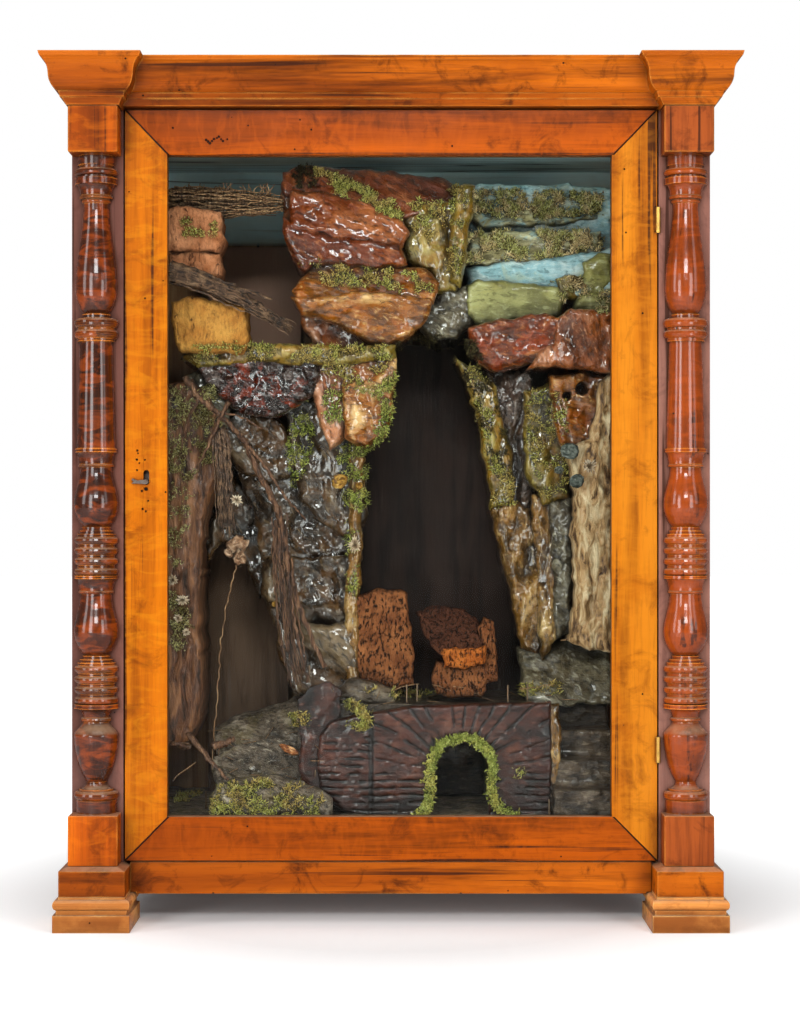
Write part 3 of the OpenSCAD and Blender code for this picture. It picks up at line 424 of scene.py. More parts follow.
# Worm and nail holes round the keyhole, and the knot on the top rail
LOCK_MARKS = rows("137.5,450.5,0.0013 138,453.5,0.001 137,459.6,0.0012 145,460,0.001 139.5,463,0.0012 "
                  "142,491,0.0014 148.5,500.7,0.001 142.6,509,0.0013 145.7,511.4,0.0011 146,489,0.0022 "
                  "137,470,0.0012")
KNOT_MARKS = rows("206,140,0.0014 208,141.5,0.0012 210,143,0.0015 212,141,0.0012 214,139,0.0014 "
                  "217,138,0.0012 219,137,0.0015 221,139,0.0012 223,141,0.0013 173,128,0.0012 "
                  "300,120,0.001 452,146,0.0011")
EDGE_WEAR = paint(226, 150, 62)
DOOR_LOOK = {"shade_and_grime": 0.9, "corner": 0.016, "mitres": True}
CASE_COLOURS = "150,88,44 122,66,32 78,40,22"
CORNICE = "cornice_left cornice_right cornice_centre cornice_side_left cornice_side_right"
BLOCKS = "pedestal_left capital_left pedestal_right capital_right"

use(wood("rail_wood", "x", "200,102,14 154,70,6 72,28,4", 0.85, wear=EDGE_WEAR),
    "plinth_left plinth_right bottom_rail " + CORNICE)
use(wood("foot_wood", "x", "255,186,108 236,154,76 146,80,32", 0.7, wear=paint(240, 190, 120)),
    "foot_left foot_right")
use(wood("block_wood", "z", "228,116,10 190,84,6 92,36,3", 0.7, curl=0.25, wear=EDGE_WEAR),
    "pedestal_left capital_left")
use(wood("block_wood_right", "z", "166,80,30 130,58,20 64,25,10", 0.7, wear=EDGE_WEAR),
    "pedestal_right capital_right")
use(wood("lock_wood", "z", "218,136,14 194,102,4 104,44,1", 0.6, curl=0.3, marks=LOCK_MARKS, **DOOR_LOOK),
    "door_lock_stile")
use(wood("stile_wood", "z", "206,124,22 178,94,6 98,40,2", 0.55, curl=0.3, **DOOR_LOOK), "door_hinge_stile")
use(wood("top_rail_wood", "x", "190,86,3 148,62,1 74,27,1", 0.7, curl=0.25, marks=KNOT_MARKS, **DOOR_LOOK),
    "door_top_rail")
use(wood("door_rail_wood", "x", "178,80,3 132,54,1 66,25,1", 0.7, curl=0.25, **DOOR_LOOK), "door_bottom_rail")
use(wood("column_wood", "z", "166,70,14 96,38,8 34,12,4", gloss=0.17, coat=0.6, curl=0.55, shade_and_grime=1.0,
         wear=paint(244, 140, 44), corner=0.014, specular=0.12), "column_left column_right")
use(wood("board_wood", "z", "160,112,96 132,86,74 78,44,36", 0.5, gloss=0.36, coat=0.3),
    "front_board_left front_board_right")
use(wood("case_wood_z", "z", CASE_COLOURS, gloss=0.4, coat=0.2), "side_panel_left side_panel_right rear_feet")
use(wood("case_wood_x", "x", CASE_COLOURS, gloss=0.4, coat=0.2), "base_side_rails floor_board")
use(wood("raw_wood", "z", "176,132,88 148,106,68 104,70,44", gloss=0.62, coat=0.0), "glazing_beads")
soften(0.0012, "foot_left foot_right plinth_left plinth_right bottom_rail " + CORNICE + " " + BLOCKS)
soften(0.0008, "door_lock_stile door_hinge_stile door_top_rail door_bottom_rail")


def old_glass():
    """Thin window glass: clear, faintly reflecting, with a little dust."""
    f = Finish("old_glass")
    clear = f.node("ShaderNodeBsdfTransparent", {"Color": (0.97, 0.985, 0.975, 1)})
    shine = f.node("ShaderNodeBsdfGlossy", {"Color": WHITE, "Roughness": 0.03})
    dust = f.node("ShaderNodeBsdfDiffuse", {"Color": paint(190, 185, 170)})
    facing = f.node("ShaderNodeFresnel", {"IOR": 1.12}).outputs["Fac"]
    pane = f.node("ShaderNodeMixShader", {0: facing, 1: clear.outputs[0], 2: shine.outputs[0]})
    smear = f.levels(f.noise(14, 6, 0.6, warp=1.5), 0.5, 0.8, 0.0, 0.004)
    dusty = f.node("ShaderNodeMixShader", {0: smear, 1: pane.outputs[0], 2: dust.outputs[0]})
    f.join(f.tree.nodes["Material Output"].inputs["Surface"], dusty.outputs[0])
    return f.material


def metal(name, colours, roughness, rust):
    """Worn metal with darker tarnish in patches."""
    bright, tarnish = paints(colours)
    f = Finish(name, metallic=1.0)
    colour = f.over(bright, f.noise(120, 5, 0.65), 0.4, 0.65, rust, tarnish)
    # Darker in the hollow corners: painted shade with dirt.
    colour = f.shaded(colour, 0.004, 0.7, GRIME_AND_SHADE)
    rough = f.levels(f.noise(200, 4, 0.6), 0.3, 0.7, roughness, roughness + 0.2)
    return f.finish(colour, rough, f.bump(f.noise(300, 3, 0.6), 0.00015))


use(old_glass(), "glass_pane")
use(metal("brass", "206,164,84 96,74,40", 0.32, 0.4),
    "hinge_case_leaves hinge_door_leaves case_screws door_screws hinge_pins strike_plate")
use(metal("iron", "112,104,98 66,46,34", 0.45, 0.7), "lock_case key_stub lock_bolt")
use(metal("peg_metal", "150,128,104 92,66,46", 0.4, 0.6), "figure_pegs")


# Landscape: noise, and rocks that are cut to outlines
def hashed(i, j, k, seed):
    """A fixed number from 0 to 1 for each lattice point."""
    n = (i * 73856093) ^ (j * 19349663) ^ (k * 83492791) ^ (seed * 2654435)
    n = ((n ^ (n >> 13)) * 1274126177) & 0x7FFFFFFF
    n = ((n ^ (n >> 15)) * 1911520717) & 0x7FFFFFFF
    return ((n >> 9) & 0xFFFF) / 65535.0


def soft_noise(points, size, seed):
    """Smooth noise from 0 to 1 at an array of points."""
    scaled = points / size
    low = np.floor(scaled).astype(np.int64)
    part = scaled - low
    part = part * part * (3 - 2 * part)
    total = np.zeros(len(points))
    for corner in range(8):
        step = np.array([corner & 1, corner >> 1 & 1, corner >> 2 & 1])
        share = np.prod(np.where(step == 1, part, 1 - part), axis=1)
        total += share * hashed(*(low + step).T, seed)
    return total


def fractal(points, size, seed):
    """Three sizes of smooth noise, each half as strong and half as wide as the one before."""
    total = 0.0
    for octave in range(3):
        total = total + 0.5 ** octave * soft_noise(points, size / 2 ** octave, seed + octave)
    return total / 1.75


def crumple(points, wave, seed):
    """Crumpled sheet: flat facets between sharp folds, from 0 in the folds to 1 on the ridges."""
    draw = np.random.default_rng(seed)
    warp = (fractal(points, wave * 1.6, seed) - 0.5) * 1.3
    total = np.zeros(len(points))
    weight = 0.0
    for _ in range(7):
        turn = math.radians(180 * (draw.random() - 0.5))
        length = wave * (0.35 + 1.1 * draw.random())
        along = points[:, 0] * math.sin(turn) + points[:, 2] * math.cos(turn)
        place = along / length + draw.random() + warp
        total += length * np.abs(2 * (place - np.floor(place)) - 1)
        weight += length
    return total / weight


def facets(points, size, seed, lean, stretch):
    """Broken facets with sharp creases, from 0 to 1, drawn out along the folds."""
    turn = math.radians(lean)
    warp = (fractal(points, size * 1.3, seed + 3) - 0.5) * 1.1
    bend = (fractal(points, size * 1.3, seed + 5) - 0.5) * 1.1
    u = (points[:, 0] * math.sin(turn) + points[:, 2] * math.cos(turn)) / size + warp
    v = (points[:, 0] * math.cos(turn) - points[:, 2] * math.sin(turn)) / (size * stretch) + bend
    low_u, low_v = np.floor(u).astype(np.int64), np.floor(v).astype(np.int64)
    best = np.full(len(points), -9.0)
    for du in (-1, 0, 1):
        for dv in (-1, 0, 1):
            i, j = low_u + du, low_v + dv
            away_u = u - i - hashed(i, j, 1, seed)
            away_v = v - j - hashed(i, j, 2, seed)
            plane = (hashed(i, j, 3, seed) + 1.1 * (hashed(i, j, 4, seed) - 0.5) * away_u
                     + 1.1 * (hashed(i, j, 5, seed) - 0.5) * away_v - 0.5 * (away_u ** 2 + away_v ** 2))
            best = np.maximum(best, plane)
    return np.clip((best + 0.05) / 1.05, 0, 1)


def inside_outline(points, outline):
    """Which flat points lie inside a closed outline."""
    x, z = points.T
    inside = np.zeros(len(points), bool)
    for (x0, z0), (x1, z1) in zip(outline, np.roll(outline, -1, axis=0)):
        crosses = (z0 > z) != (z1 > z)
        if z0 != z1:
            inside ^= crosses & (x < (x1 - x0) * (z - z0) / (z1 - z0) + x0)
    return inside


def nearest_on(points, outline):
    """The nearest places on a closed outline, and how far they are."""
    best = np.full(len(points), 1e9)
    place = np.zeros_like(points)
    for a, b in zip(outline, np.roll(outline, -1, axis=0)):
        way = b - a
        share = np.clip(((points - a) @ way) / max(way @ way, 1e-12), 0, 1)
        spot = a + share[:, None] * way
        gap = np.linalg.norm(points - spot, axis=1)
        closer = gap < best
        best[closer] = gap[closer]
        place[closer] = spot[closer]
    return place, best


def grown(outline, reach):
    """An outline whose points move outwards."""
    turn = np.roll(outline, -1, axis=0) - np.roll(outline, 1, axis=0)
    area = np.sum(outline[:, 0] * np.roll(outline[:, 1], -1) - np.roll(outline[:, 0], -1) * outline[:, 1])
    out = np.column_stack([turn[:, 1], -turn[:, 0]]) * np.sign(area)
    return outline + reach * out / np.linalg.norm(out, axis=1)[:, None]


def upright(x, z):
    """Flat places as points in space, for the noise."""
    return np.column_stack([x, np.zeros(len(x)), z])


def ragged_outline(outline, jitter, seed):
    """An outline with more points, 4 mm apart, each moved a little."""
    points = []
    for a, b in zip(outline, np.roll(outline, -1, axis=0)):
        count = max(1, int(np.linalg.norm(b - a) / 0.004))
        points += [a + (b - a) * n / count for n in range(count)]
    points = np.array(points)
    spots = upright(*points.T)
    move = np.column_stack([fractal(spots, 0.014, seed), fractal(spots, 0.014, seed + 50)]) - 0.5
    fine = np.column_stack([soft_noise(spots, 0.0055, seed + 7), soft_noise(spots, 0.0055, seed + 57)]) - 0.5
    return points + 2 * jitter * move + 0.9 * jitter * fine


def new_piece(name, vertices, faces, material, tones, smooth=True):
    mesh = bpy.data.meshes.new(name)
    mesh.from_pydata([tuple(v) for v in vertices], [], faces)
    mesh.validate()
    attribute = mesh.attributes.new("tone", "FLOAT", "POINT")
    attribute.data.foreach_set("value", np.asarray(tones, np.float32))
    mesh.polygons.foreach_set("use_smooth", [smooth] * len(mesh.polygons))
    mesh.materials.append(material)
    piece = bpy.data.objects.new(name, mesh)
    bpy.context.scene.collection.objects.link(piece)
    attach(piece, "case")
    return piece


ROCKS = []


def kept_cells(low, high, step, flat, hole):
    """Grid points and quads over the part of a box that lies in the outline and not in the hole."""
    count = np.ceil((high - low) / step).astype(int) + 1
    columns, lines = np.meshgrid(np.arange(count[0] + 1), np.arange(count[1] + 1), indexing="ij")
    points = low + np.column_stack([columns.ravel(), lines.ravel()]) * step
    cells = [(i, j) for i in range(count[0]) for j in range(count[1])]
    middle = low + (np.array(cells) + 0.5) * step
    kept = inside_outline(middle, flat)
    if hole is not None:
        kept &= ~inside_outline(middle, hole)
    across = count[1] + 1
    quads = [(i * across + j, (i + 1) * across + j, (i + 1) * across + j + 1, i * across + j + 1)
             for (i, j), keep in zip(cells, kept) if keep]
    used = np.unique(np.array(quads).ravel())
    new_number = np.full(len(points), -1)
    new_number[used] = np.arange(len(used))
    return points[used], [tuple(int(new_number[v]) for v in quad) for quad in quads]


def open_sides(quads):
    """The directed sides that only one quad has."""
    sides = {}
    for quad in quads:
        for a, b in zip(quad, quad[1:] + quad[:1]):
            if (b, a) in sides:
                del sides[(b, a)]
            else:
                sides[(a, b)] = True
    return sides


def rock(name, outline, front, back, material, seed, edge=0.007, fold=0.008, wave=0.03, lean=0.0,
         spread=180.0, crumpled=0.003, jitter=0.003, step=0.0017, shape=None, hole=None, cuts=None,
         grow=0.0022):
    """A closed rock: its front follows an outline in the photograph's pixels, between two depths."""
    flat = np.array([[p.x, p.z] for p in (seen_at(px, py, front) for px, py in rows(outline))])
    flat = ragged_outline(grown(flat, grow), jitter, seed)
    points, quads = kept_cells(flat.min(axis=0), flat.max(axis=0), step, flat, hole)
    sides = open_sides(quads)
    rim = np.unique([v for side in sides for v in side])
    places, gaps = nearest_on(points, flat)
    if hole is not None:
        hole_places, hole_gaps = nearest_on(points, hole)
        nearer = hole_gaps < gaps
        places[nearer] = hole_places[nearer]
        gaps[nearer] = hole_gaps[nearer]
    snap = rim[gaps[rim] < 1.5 * step]
    points[snap] = places[snap]
    gaps[snap] = 0.0
    x, z = points.T
    spots = upright(x, z)
    stretch = min(4.0, 200.0 / spread)
    folds = 0.65 * (1.1 - facets(spots, wave * 0.8, seed, lean, stretch))
    folds = folds + 0.35 * facets(spots, wave * 0.4, seed + 2, lean + 15, stretch)
    small = 0.65 * (1.1 - facets(spots, wave * 0.28, seed + 9, lean, 0.7 * stretch + 0.3))
    small = small + 0.35 * fractal(spots, 0.005, seed + 4)
    inward = 1 - np.clip(gaps / (edge * (0.6 + 0.8 * soft_noise(spots, 0.02, seed))), 0, 1)
    depth = front + edge * (1 - np.sqrt(np.clip(1 - inward ** 2, 0, 1)))
    depth = depth + fold * (1 - folds) + crumpled * (1 - small)
    # The fold height as tone: the painted finishes darken the folds from it as painted shade and lighten the
    # ridges as painted light.
    tones = 0.65 * folds + 0.35 * small
    if shape is not None:
        depth = depth + shape(x, z)
    if cuts is not None:
        grooves = cuts(x, z)
        depth = depth + grooves
        # The cut grooves are darkened in the tone as painted shade.
        tones = tones - grooves / 0.002
    depth = np.minimum(depth, back - 0.002)
    total = len(points)
    face_points = np.column_stack([x, BOARD_FACE + depth, z])
    back_points = np.column_stack([x, np.full(total, BOARD_FACE + back), z])
    faces = quads + [tuple(total + v for v in reversed(quad)) for quad in quads]
    faces += [(b, a, total + a, total + b) for a, b in sides]
    tones = np.concatenate([np.clip(tones, -1, 1), np.zeros(total)])
    piece = new_piece(name, np.vstack([face_points, back_points]), faces, material, tones)
    ROCKS.append(piece)
    return piece


def painted(name, colours, gloss=0.22, patches=0.5, speckle=0.4, coat=0.9, scale=1.0, lean=20, glints=1.0):
    """Varnished paint on crumpled paper: painted shade in folds and hollows, painted light on ridges, brush
    strokes, patches of another colour.
    """
    deep, middle, high, patch = paints(colours)
    f = Finish(name, coat=coat, coat_roughness=0.09, specular=0.3)
    tone = f.tone()
    mottle = f.noise(80 * scale, 5, 0.65)
    strokes = f.strokes(70 * scale, lean)
    # The fold height darkens the folds towards the deep colour as painted shade and lightens the ridges
    # towards the high colour as painted light.
    level = f.plus(f.times(tone, 0.72), f.times(mottle, 0.3))
    level = f.plus(level, f.times(strokes, 0.45))
    colour = f.ramp(level, [(0.5, deep), (0.78, middle), (1.0, high)])
    colour = f.over(colour, f.noise(24 * scale, 5, 0.65, warp=0.8), 0.5, 0.6, patches, patch)
    colour = f.over(colour, f.strokes(38 * scale, lean, 2.5), 0.54, 0.64, 0.7, deep)
    fine = f.strokes(210 * scale, lean, 2.5)
    colour = f.over(colour, fine, 0.47, 0.38, 0.75, deep)
    colour = f.over(colour, fine, 0.57, 0.67, 0.6, high)
    grit = f.noise(420, 3, 0.75)
    colour = f.over(colour, grit, 0.6, 0.68, 0.7 * speckle, high)
    # Painted shade: near black in the hollow corners.
    colour = f.shaded(colour, 0.02, 0.85, paint(14, 9, 6))
    rough = f.levels(f.noise(60, 4, 0.6), 0.35, 0.7, gloss, gloss + 0.3)
    normal = f.bump(strokes, 0.003 * glints)
    normal = f.bump(f.creases(75 * scale), 0.003 * glints, normal)
    normal = f.bump(fine, 0.0022 * glints, normal)
    normal = f.bump(grit, 0.0002, normal)
    return f.finish(colour, rough, normal)


def board(name, colours, upper=0.0):
    """Thin glazed board with a coarse weave, scratches and smears, and painted light above the ledge: lighter
    by this share there.
    """
    pale, dark = paints(colours)
    f = Finish(name, coat=0.08, coat_roughness=0.2, specular=0.12)
    broad = f.noise(9, 4, 0.6, f.stretch((1, 1, 0.4)), 0.5)
    colour = f.ramp(broad, [(0.3, dark), (0.7, pale)])
    streaks = f.noise(60, 4, 0.65, f.stretch((1, 1, 0.12), (0, 3, 0)), 0.5)
    colour = f.over(colour, streaks, 0.46, 0.62, 0.8, dark)
    # Painted light: lighter above the ledge.
    colour = f.over(colour, f.parts(f.place)["Z"], 0.55, 0.58, upper, paint(156, 118, 98))
    threads = f.noise(260, 3, 0.6, f.stretch((1, 1, 0.12)))
    colour = f.over(colour, threads, 0.55, 0.75, 0.4, pale)
    scratch = f.noise(90, 2, 0.5, f.stretch((1, 1, 0.05), (0, 4, 0)))
    colour = f.over(colour, scratch, 0.68, 0.74, 0.35, paint(120, 108, 98))
    rough = f.levels(f.noise(40, 4, 0.6), 0.3, 0.7, 0.4, 0.65)
    return f.finish(colour, rough, f.bump(threads, 0.0003))


def cork(name, colours, pitted=1.0):
    """Cork bark: short upright pits and cracks, paler flecks."""
    pale, dark, deep = paints(colours)
    f = Finish(name, roughness=0.85, specular=0.2)
    colour = f.ramp(f.noise(45, 4, 0.6), [(0.3, dark), (0.68, pale)])
    pits = f.noise(330, 4, 0.7, f.stretch((1, 1, 0.5)))
    colour = f.over(colour, pits, 0.5, 0.42, pitted, deep)
    cracks = f.noise(120, 4, 0.7, f.stretch((1, 1, 0.3)), 0.8)
    colour = f.over(colour, cracks, 0.42, 0.34, 0.9, deep)
    fine = f.noise(500, 3, 0.7)
    colour = f.over(colour, fine, 0.55, 0.7, 0.3, pale)
    # Painted shade: dark in the hollow corners.
    colour = f.shaded(colour, 0.015, 0.7, paint(22, 12, 8))
    normal = f.bump(pits, 0.001 + 0.004 * pitted)
    normal = f.bump(cracks, 0.004, normal)
    normal = f.bump(fine, 0.0004, normal)
    return f.finish(colour, None, normal)


def bark_paint(name, colours, gloss=0.5, stretch=0.22, scale=120):
    """Furrowed bark with long upright cracks."""
    pale, dark, deep = paints(colours)
    f = Finish(name, coat=0.2, coat_roughness=0.2)
    furrow = f.noise(scale, 5, 0.65, f.stretch((1, 1, stretch)), 0.7)
    colour = f.ramp(furrow, [(0.36, deep), (0.48, dark), (0.64, pale)])
    fine = f.noise(420, 3, 0.7, f.stretch((1, 1, 0.3)))
    colour = f.over(colour, fine, 0.5, 0.7, 0.3, dark)
    # Painted shade: dark in the hollow corners.
    colour = f.shaded(colour, 0.02, 0.75, paint(18, 12, 8))
    rough = f.levels(furrow, 0.4, 0.7, gloss + 0.2, gloss)
    normal = f.bump(furrow, 0.006)
    normal = f.bump(fine, 0.0005, normal)
    return f.finish(colour, rough, normal)


def moss_paint(name, colours):
    """Dried moss: each blade has its own tone, darker towards its root as painted shade, and whole clumps
    another colour.
    """
    pale, middle, deep, other = paints(colours)
    f = Finish(name, roughness=0.7, specular=0.2)
    level = f.plus(f.times(f.tone(), 0.75), f.times(f.noise(70, 3, 0.6), 0.35))
    base = f.over(middle, f.noise(60, 3, 0.6), 0.43, 0.56, 0.85, other)
    colour = f.mix(f.levels(level, 0.22, 0.5), deep, base)
    return f.finish(f.over(colour, level, 0.55, 0.9, 1.0, pale))


red_paint = painted("red_paint", "44,12,1 120,50,7 186,108,58 108,40,6", lean=25, coat=0.75)
ochre_paint = painted("ochre_paint", "58,28,4 166,94,16 236,190,122 168,78,8", lean=12)
orange_paint = painted("orange_paint", "50,20,6 154,80,36 226,166,126 176,92,20", lean=70)
olive_paint = painted("olive_paint", "44,36,6 134,110,34 192,172,100 168,112,22", lean=75, glints=0.6)
ledge_paint = painted("ledge_paint", "70,62,36 176,166,116 226,222,178 140,196,212", coat=0.4, lean=2,
                      glints=0.6, patches=0.7)
grey_paint = painted("grey_paint", "28,23,16 110,100,76 190,184,160 84,68,38", gloss=0.3, lean=35)
dark_paint = painted("dark_paint", "18,12,7 72,54,36 134,112,82 104,68,28", gloss=0.16, patches=0.6,
                     speckle=0.1, lean=50, glints=0.9, scale=0.8)
lava_paint = painted("lava_paint", "12,7,6 56,38,32 156,140,134 186,62,18", gloss=0.1, patches=0.55,
                     speckle=0.3, lean=10, glints=1.7, scale=1.3)
fire_paint = painted("fire_paint", "46,15,1 132,54,7 206,128,68 160,58,4", patches=0.6, speckle=0.8, lean=4,
                     glints=1.2, coat=0.75)
purple_paint = painted("purple_paint", "26,18,14 96,72,58 176,154,140 118,80,28", gloss=0.14, lean=86,
                       glints=1.3)
fold_paint = painted("fold_paint", "42,26,6 148,102,38 222,188,124 106,72,24", gloss=0.2, lean=84, glints=1.2)
green_paint = painted("green_paint", "96,92,48 162,160,100 194,196,138 150,140,66", gloss=0.4, speckle=0.15,
                      coat=0.4, lean=4, glints=0.5)
blue_paint = painted("blue_paint", "100,134,136 160,204,212 230,244,240 186,192,150", gloss=0.45, speckle=0.2,
                     coat=0.3, lean=4, glints=0.6)
clay_paint = painted("clay_paint", "14,6,4 68,32,20 108,64,48 72,27,14", gloss=0.3, patches=0.4, speckle=0.15,
                     coat=0.35, lean=0, glints=0.4)
earth_paint = painted("earth_paint", "40,33,25 134,117,99 206,192,170 126,110,66", gloss=0.42, speckle=0.45,
                      coat=0.2, scale=1.4)
step_paint = painted("step_paint", "24,18,12 92,76,60 150,134,112 66,50,30", gloss=0.3, speckle=0.25,
                     coat=0.35, lean=0)
cork_paint = cork("cork_paint", "178,112,66 122,68,38 38,20,12")
niche_cork = cork("niche_cork", "216,148,104 170,100,58 84,46,28", 0.35)
cork_ochre = cork("cork_ochre", "222,162,78 186,118,48 84,52,24", 0.3)
cork_bright = cork("cork_bright", "226,132,58 182,92,32 70,30,10")
cork_dark = cork("cork_dark", "120,72,50 72,40,28 24,12,8")
pale_bark = bark_paint("pale_bark", "250,226,180 196,152,98 74,46,24", stretch=0.3, scale=110)
brown_bark = bark_paint("brown_bark", "166,112,70 112,70,44 42,26,18", 0.35)
stick_bark = bark_paint("stick_bark", "160,116,82 106,68,44 48,29,18", 0.5, 0.1, 300)
wood_fibre = bark_paint("wood_fibre", "150,114,82 98,68,46 44,28,18", 0.5, 1.0)
straw_bark = bark_paint("straw_bark", "222,180,128 166,120,78 86,54,32", 0.5, 0.1, 400)

BACK_BOARDS = 4
SKY_FOOT = 0.7
CEILING_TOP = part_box("top_board")[1][2]
BACK_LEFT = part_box("back_panel")[0][0]
BACK_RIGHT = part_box("back_panel")[1][0]


def teal_planks(name, upright_boards=0):
    """Raw boards whose inner faces are painted as a sky: planks, slanting scratches, smoke stains."""
    f = Finish(name, roughness=0.5, specular=0.2)
    facing = f.parts(f.node("ShaderNodeTexCoord").outputs["Normal"])
    place = f.parts(f.place)
    sky = f.levels(facing["Z"], -0.3, -0.6)
    if upright_boards:
        high = f.times(f.levels(place["Z"], SKY_FOOT, SKY_FOOT + 0.005),
                       f.levels(place["Z"], CEILING_TOP, CEILING_TOP + 0.001, 1.0, 0.0))
        sky = f.math("MAXIMUM", sky, f.times(f.levels(facing["Y"], -0.3, -0.6), high))
    broad = f.noise(16, 5, 0.6, f.stretch((0.2, 1, 1)), 0.5)
    blue = f.ramp(broad, list(zip((0.34, 0.48, 0.62), paints("206,212,196 222,240,234 214,246,250"))))
    grain = f.noise(150, 4, 0.65, f.stretch((0.05, 1, 1), (0.6, 0, 1)))
    blue = f.over(blue, grain, 0.52, 0.7, 0.4, paint(104, 104, 90))
    line = f.size(f.minus(f.noise(34, 2, 0.4, f.stretch((0.03, 1, 1), (0, 0.5, 7))), 0.5))
    blue = f.over(blue, line, 0.012, 0.004, 0.8, paint(52, 44, 34))
    worn = f.noise(90, 3, 0.6, f.stretch((0.1, 1, 1), (0, 1, 4)))
    blue = f.over(blue, worn, 0.6, 0.7, 0.5, paint(196, 212, 204))
    blue = f.over(blue, f.noise(8, 4, 0.6), 0.54, 0.72, 0.4, paint(150, 136, 110))
    stretch = (1, 1, 0.05) if upright_boards else (0.05, 1, 1)
    raw_grain = f.noise(70, 5, 0.65, f.stretch(stretch, (1, 0.6, 0.4)), 0.4)
    raw = f.ramp(raw_grain, list(zip((0.34, 0.5, 0.66), paints("112,78,50 150,112,76 186,146,104"))))
    raw = f.over(raw, f.noise(6, 5, 0.65), 0.45, 0.7, 0.6, paint(92, 68, 50))
    raw = f.mix(f.holes(0.19, 0.009, 0.4, 3.0), raw, paint(70, 42, 26))
    if upright_boards:
        width = (BACK_RIGHT - BACK_LEFT) / upright_boards
        place_in = f.math("DIVIDE", f.minus(place["X"], BACK_LEFT), width)
        seam = f.size(f.minus(place_in, f.math("ROUND", place_in)))
        seam = f.levels(seam, 0.0008 / width, 0.0016 / width, 1.0, 0.0)
        number = f.node("ShaderNodeCombineXYZ", {0: f.math("FLOOR", place_in)}).outputs[0]
        raw = f.over(raw, f.noise(1.0, 0, 0.5, number), 0.3, 0.7, 0.35, paint(120, 84, 54))
        raw = f.mix(seam, raw, paint(30, 20, 14))
    return f.finish(f.mix(sky, raw, blue), None, f.bump(grain, 0.0004))


use(teal_planks("ceiling_boards"), "top_board")
use(teal_planks("back_boards", BACK_BOARDS), "back_panel")
use(board("cave_board", "52,37,31 26,18,15"), "cave_back")
use(board("recess_board", "136,108,86 66,49,38", upper=0.8), "recess_boards")


def slope(across, down, px, py):
    """A lean of the rock's front: metres of depth for each metre to the right and for each metre down."""
    origin = seen_at(px, py, 0.1)
    return lambda x, z: across * (x - origin.x) + down * (origin.z - z)


def pits(spots, front):
    """Round holes: each a pixel and a radius in metres."""
    middles = [(seen_at(px, py, front), radius) for px, py, radius in rows(spots)]

    def cuts(x, z):
        depth = np.zeros(len(x))
        for middle, radius in middles:
            depth += 0.02 * np.clip(1.6 - 1.5 * np.hypot(x - middle.x, z - middle.z) / radius, 0, 1)
        return depth
    return cuts


def group(pieces, *nodes):
    """Rocks that stand for landscape nodes."""
    for piece in pieces:
        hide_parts(*nodes)


# Top middle: the red rock in layers, the ochre rock under it, the olive rocks at its right
group([
    rock("red_rock_top", "282,170 305,164 345,166 388,168 445,175 461,182 463,198 440,212 415,214 "
         "398,216 350,214 300,205 284,190", 0.086, 0.22, red_paint, 3, fold=0.012, wave=0.05, lean=25,
         spread=70, shape=slope(0.12, -0.25, 300, 190)),
    rock("red_rock_middle", "290,190 330,192 372,204 402,216 408,232 402,246 360,242 318,232 290,228",
         0.080, 0.22, red_paint, 5, fold=0.01, wave=0.04, lean=28, spread=60,
         shape=slope(0.1, -0.2, 330, 215)),
    rock("red_rock_lip", "284,214 298,226 330,232 362,240 402,244 404,262 372,266 338,262 314,262 "
         "304,270 292,256 286,238", 0.074, 0.22, red_paint, 7, fold=0.009, wave=0.04, lean=20, spread=70),
    rock("red_rock_side", "284,176 306,180 312,200 306,232 310,262 302,272 288,244 282,206", 0.092, 0.22,
         orange_paint, 8, fold=0.012, wave=0.026, lean=90, spread=70),
], "red_rock")
group([
    rock("ochre_rock_top", "292,292 302,276 315,262 340,258 390,260 430,268 438,280 434,298 400,302 "
         "360,300 322,304 300,306", 0.068, 0.18, ochre_paint, 11, fold=0.012, wave=0.036, lean=10,
         spread=90, shape=slope(0.05, -0.35, 360, 300)),
    rock("ochre_rock_low", "292,296 318,298 360,292 410,296 432,298 428,312 412,330 390,343 372,342 "
         "350,328 326,316 304,312", 0.062, 0.18, ochre_paint, 12, fold=0.012, wave=0.034, lean=-20,
         spread=80, shape=slope(0.05, 0.25, 360, 305)),
    rock("niche_chin", "300,306 330,316 352,330 374,344 392,350 330,352 318,346 306,330", 0.1, 0.18,
         orange_paint, 14, fold=0.012),
], "ochre_rock")
group([
    rock("olive_rock_top", "400,214 416,204 440,200 462,200 466,230 462,268 456,288 438,292 432,270 "
         "412,262 404,246 408,226", 0.094, 0.24, olive_paint, 17, fold=0.014, wave=0.034, lean=80,
         spread=100),
    rock("olive_ridge", "458,190 466,181 474,182 472,206 466,228 464,262 458,284 450,280 452,240 454,210",
         0.084, 0.24, olive_paint, 19, edge=0.01, fold=0.01, wave=0.022, lean=90, spread=50),
    rock("olive_rock_foot", "416,326 428,308 442,290 468,286 474,306 472,326 456,334 432,334", 0.1, 0.24,
         grey_paint, 21, fold=0.01, wave=0.026),
], "olive_rocks")

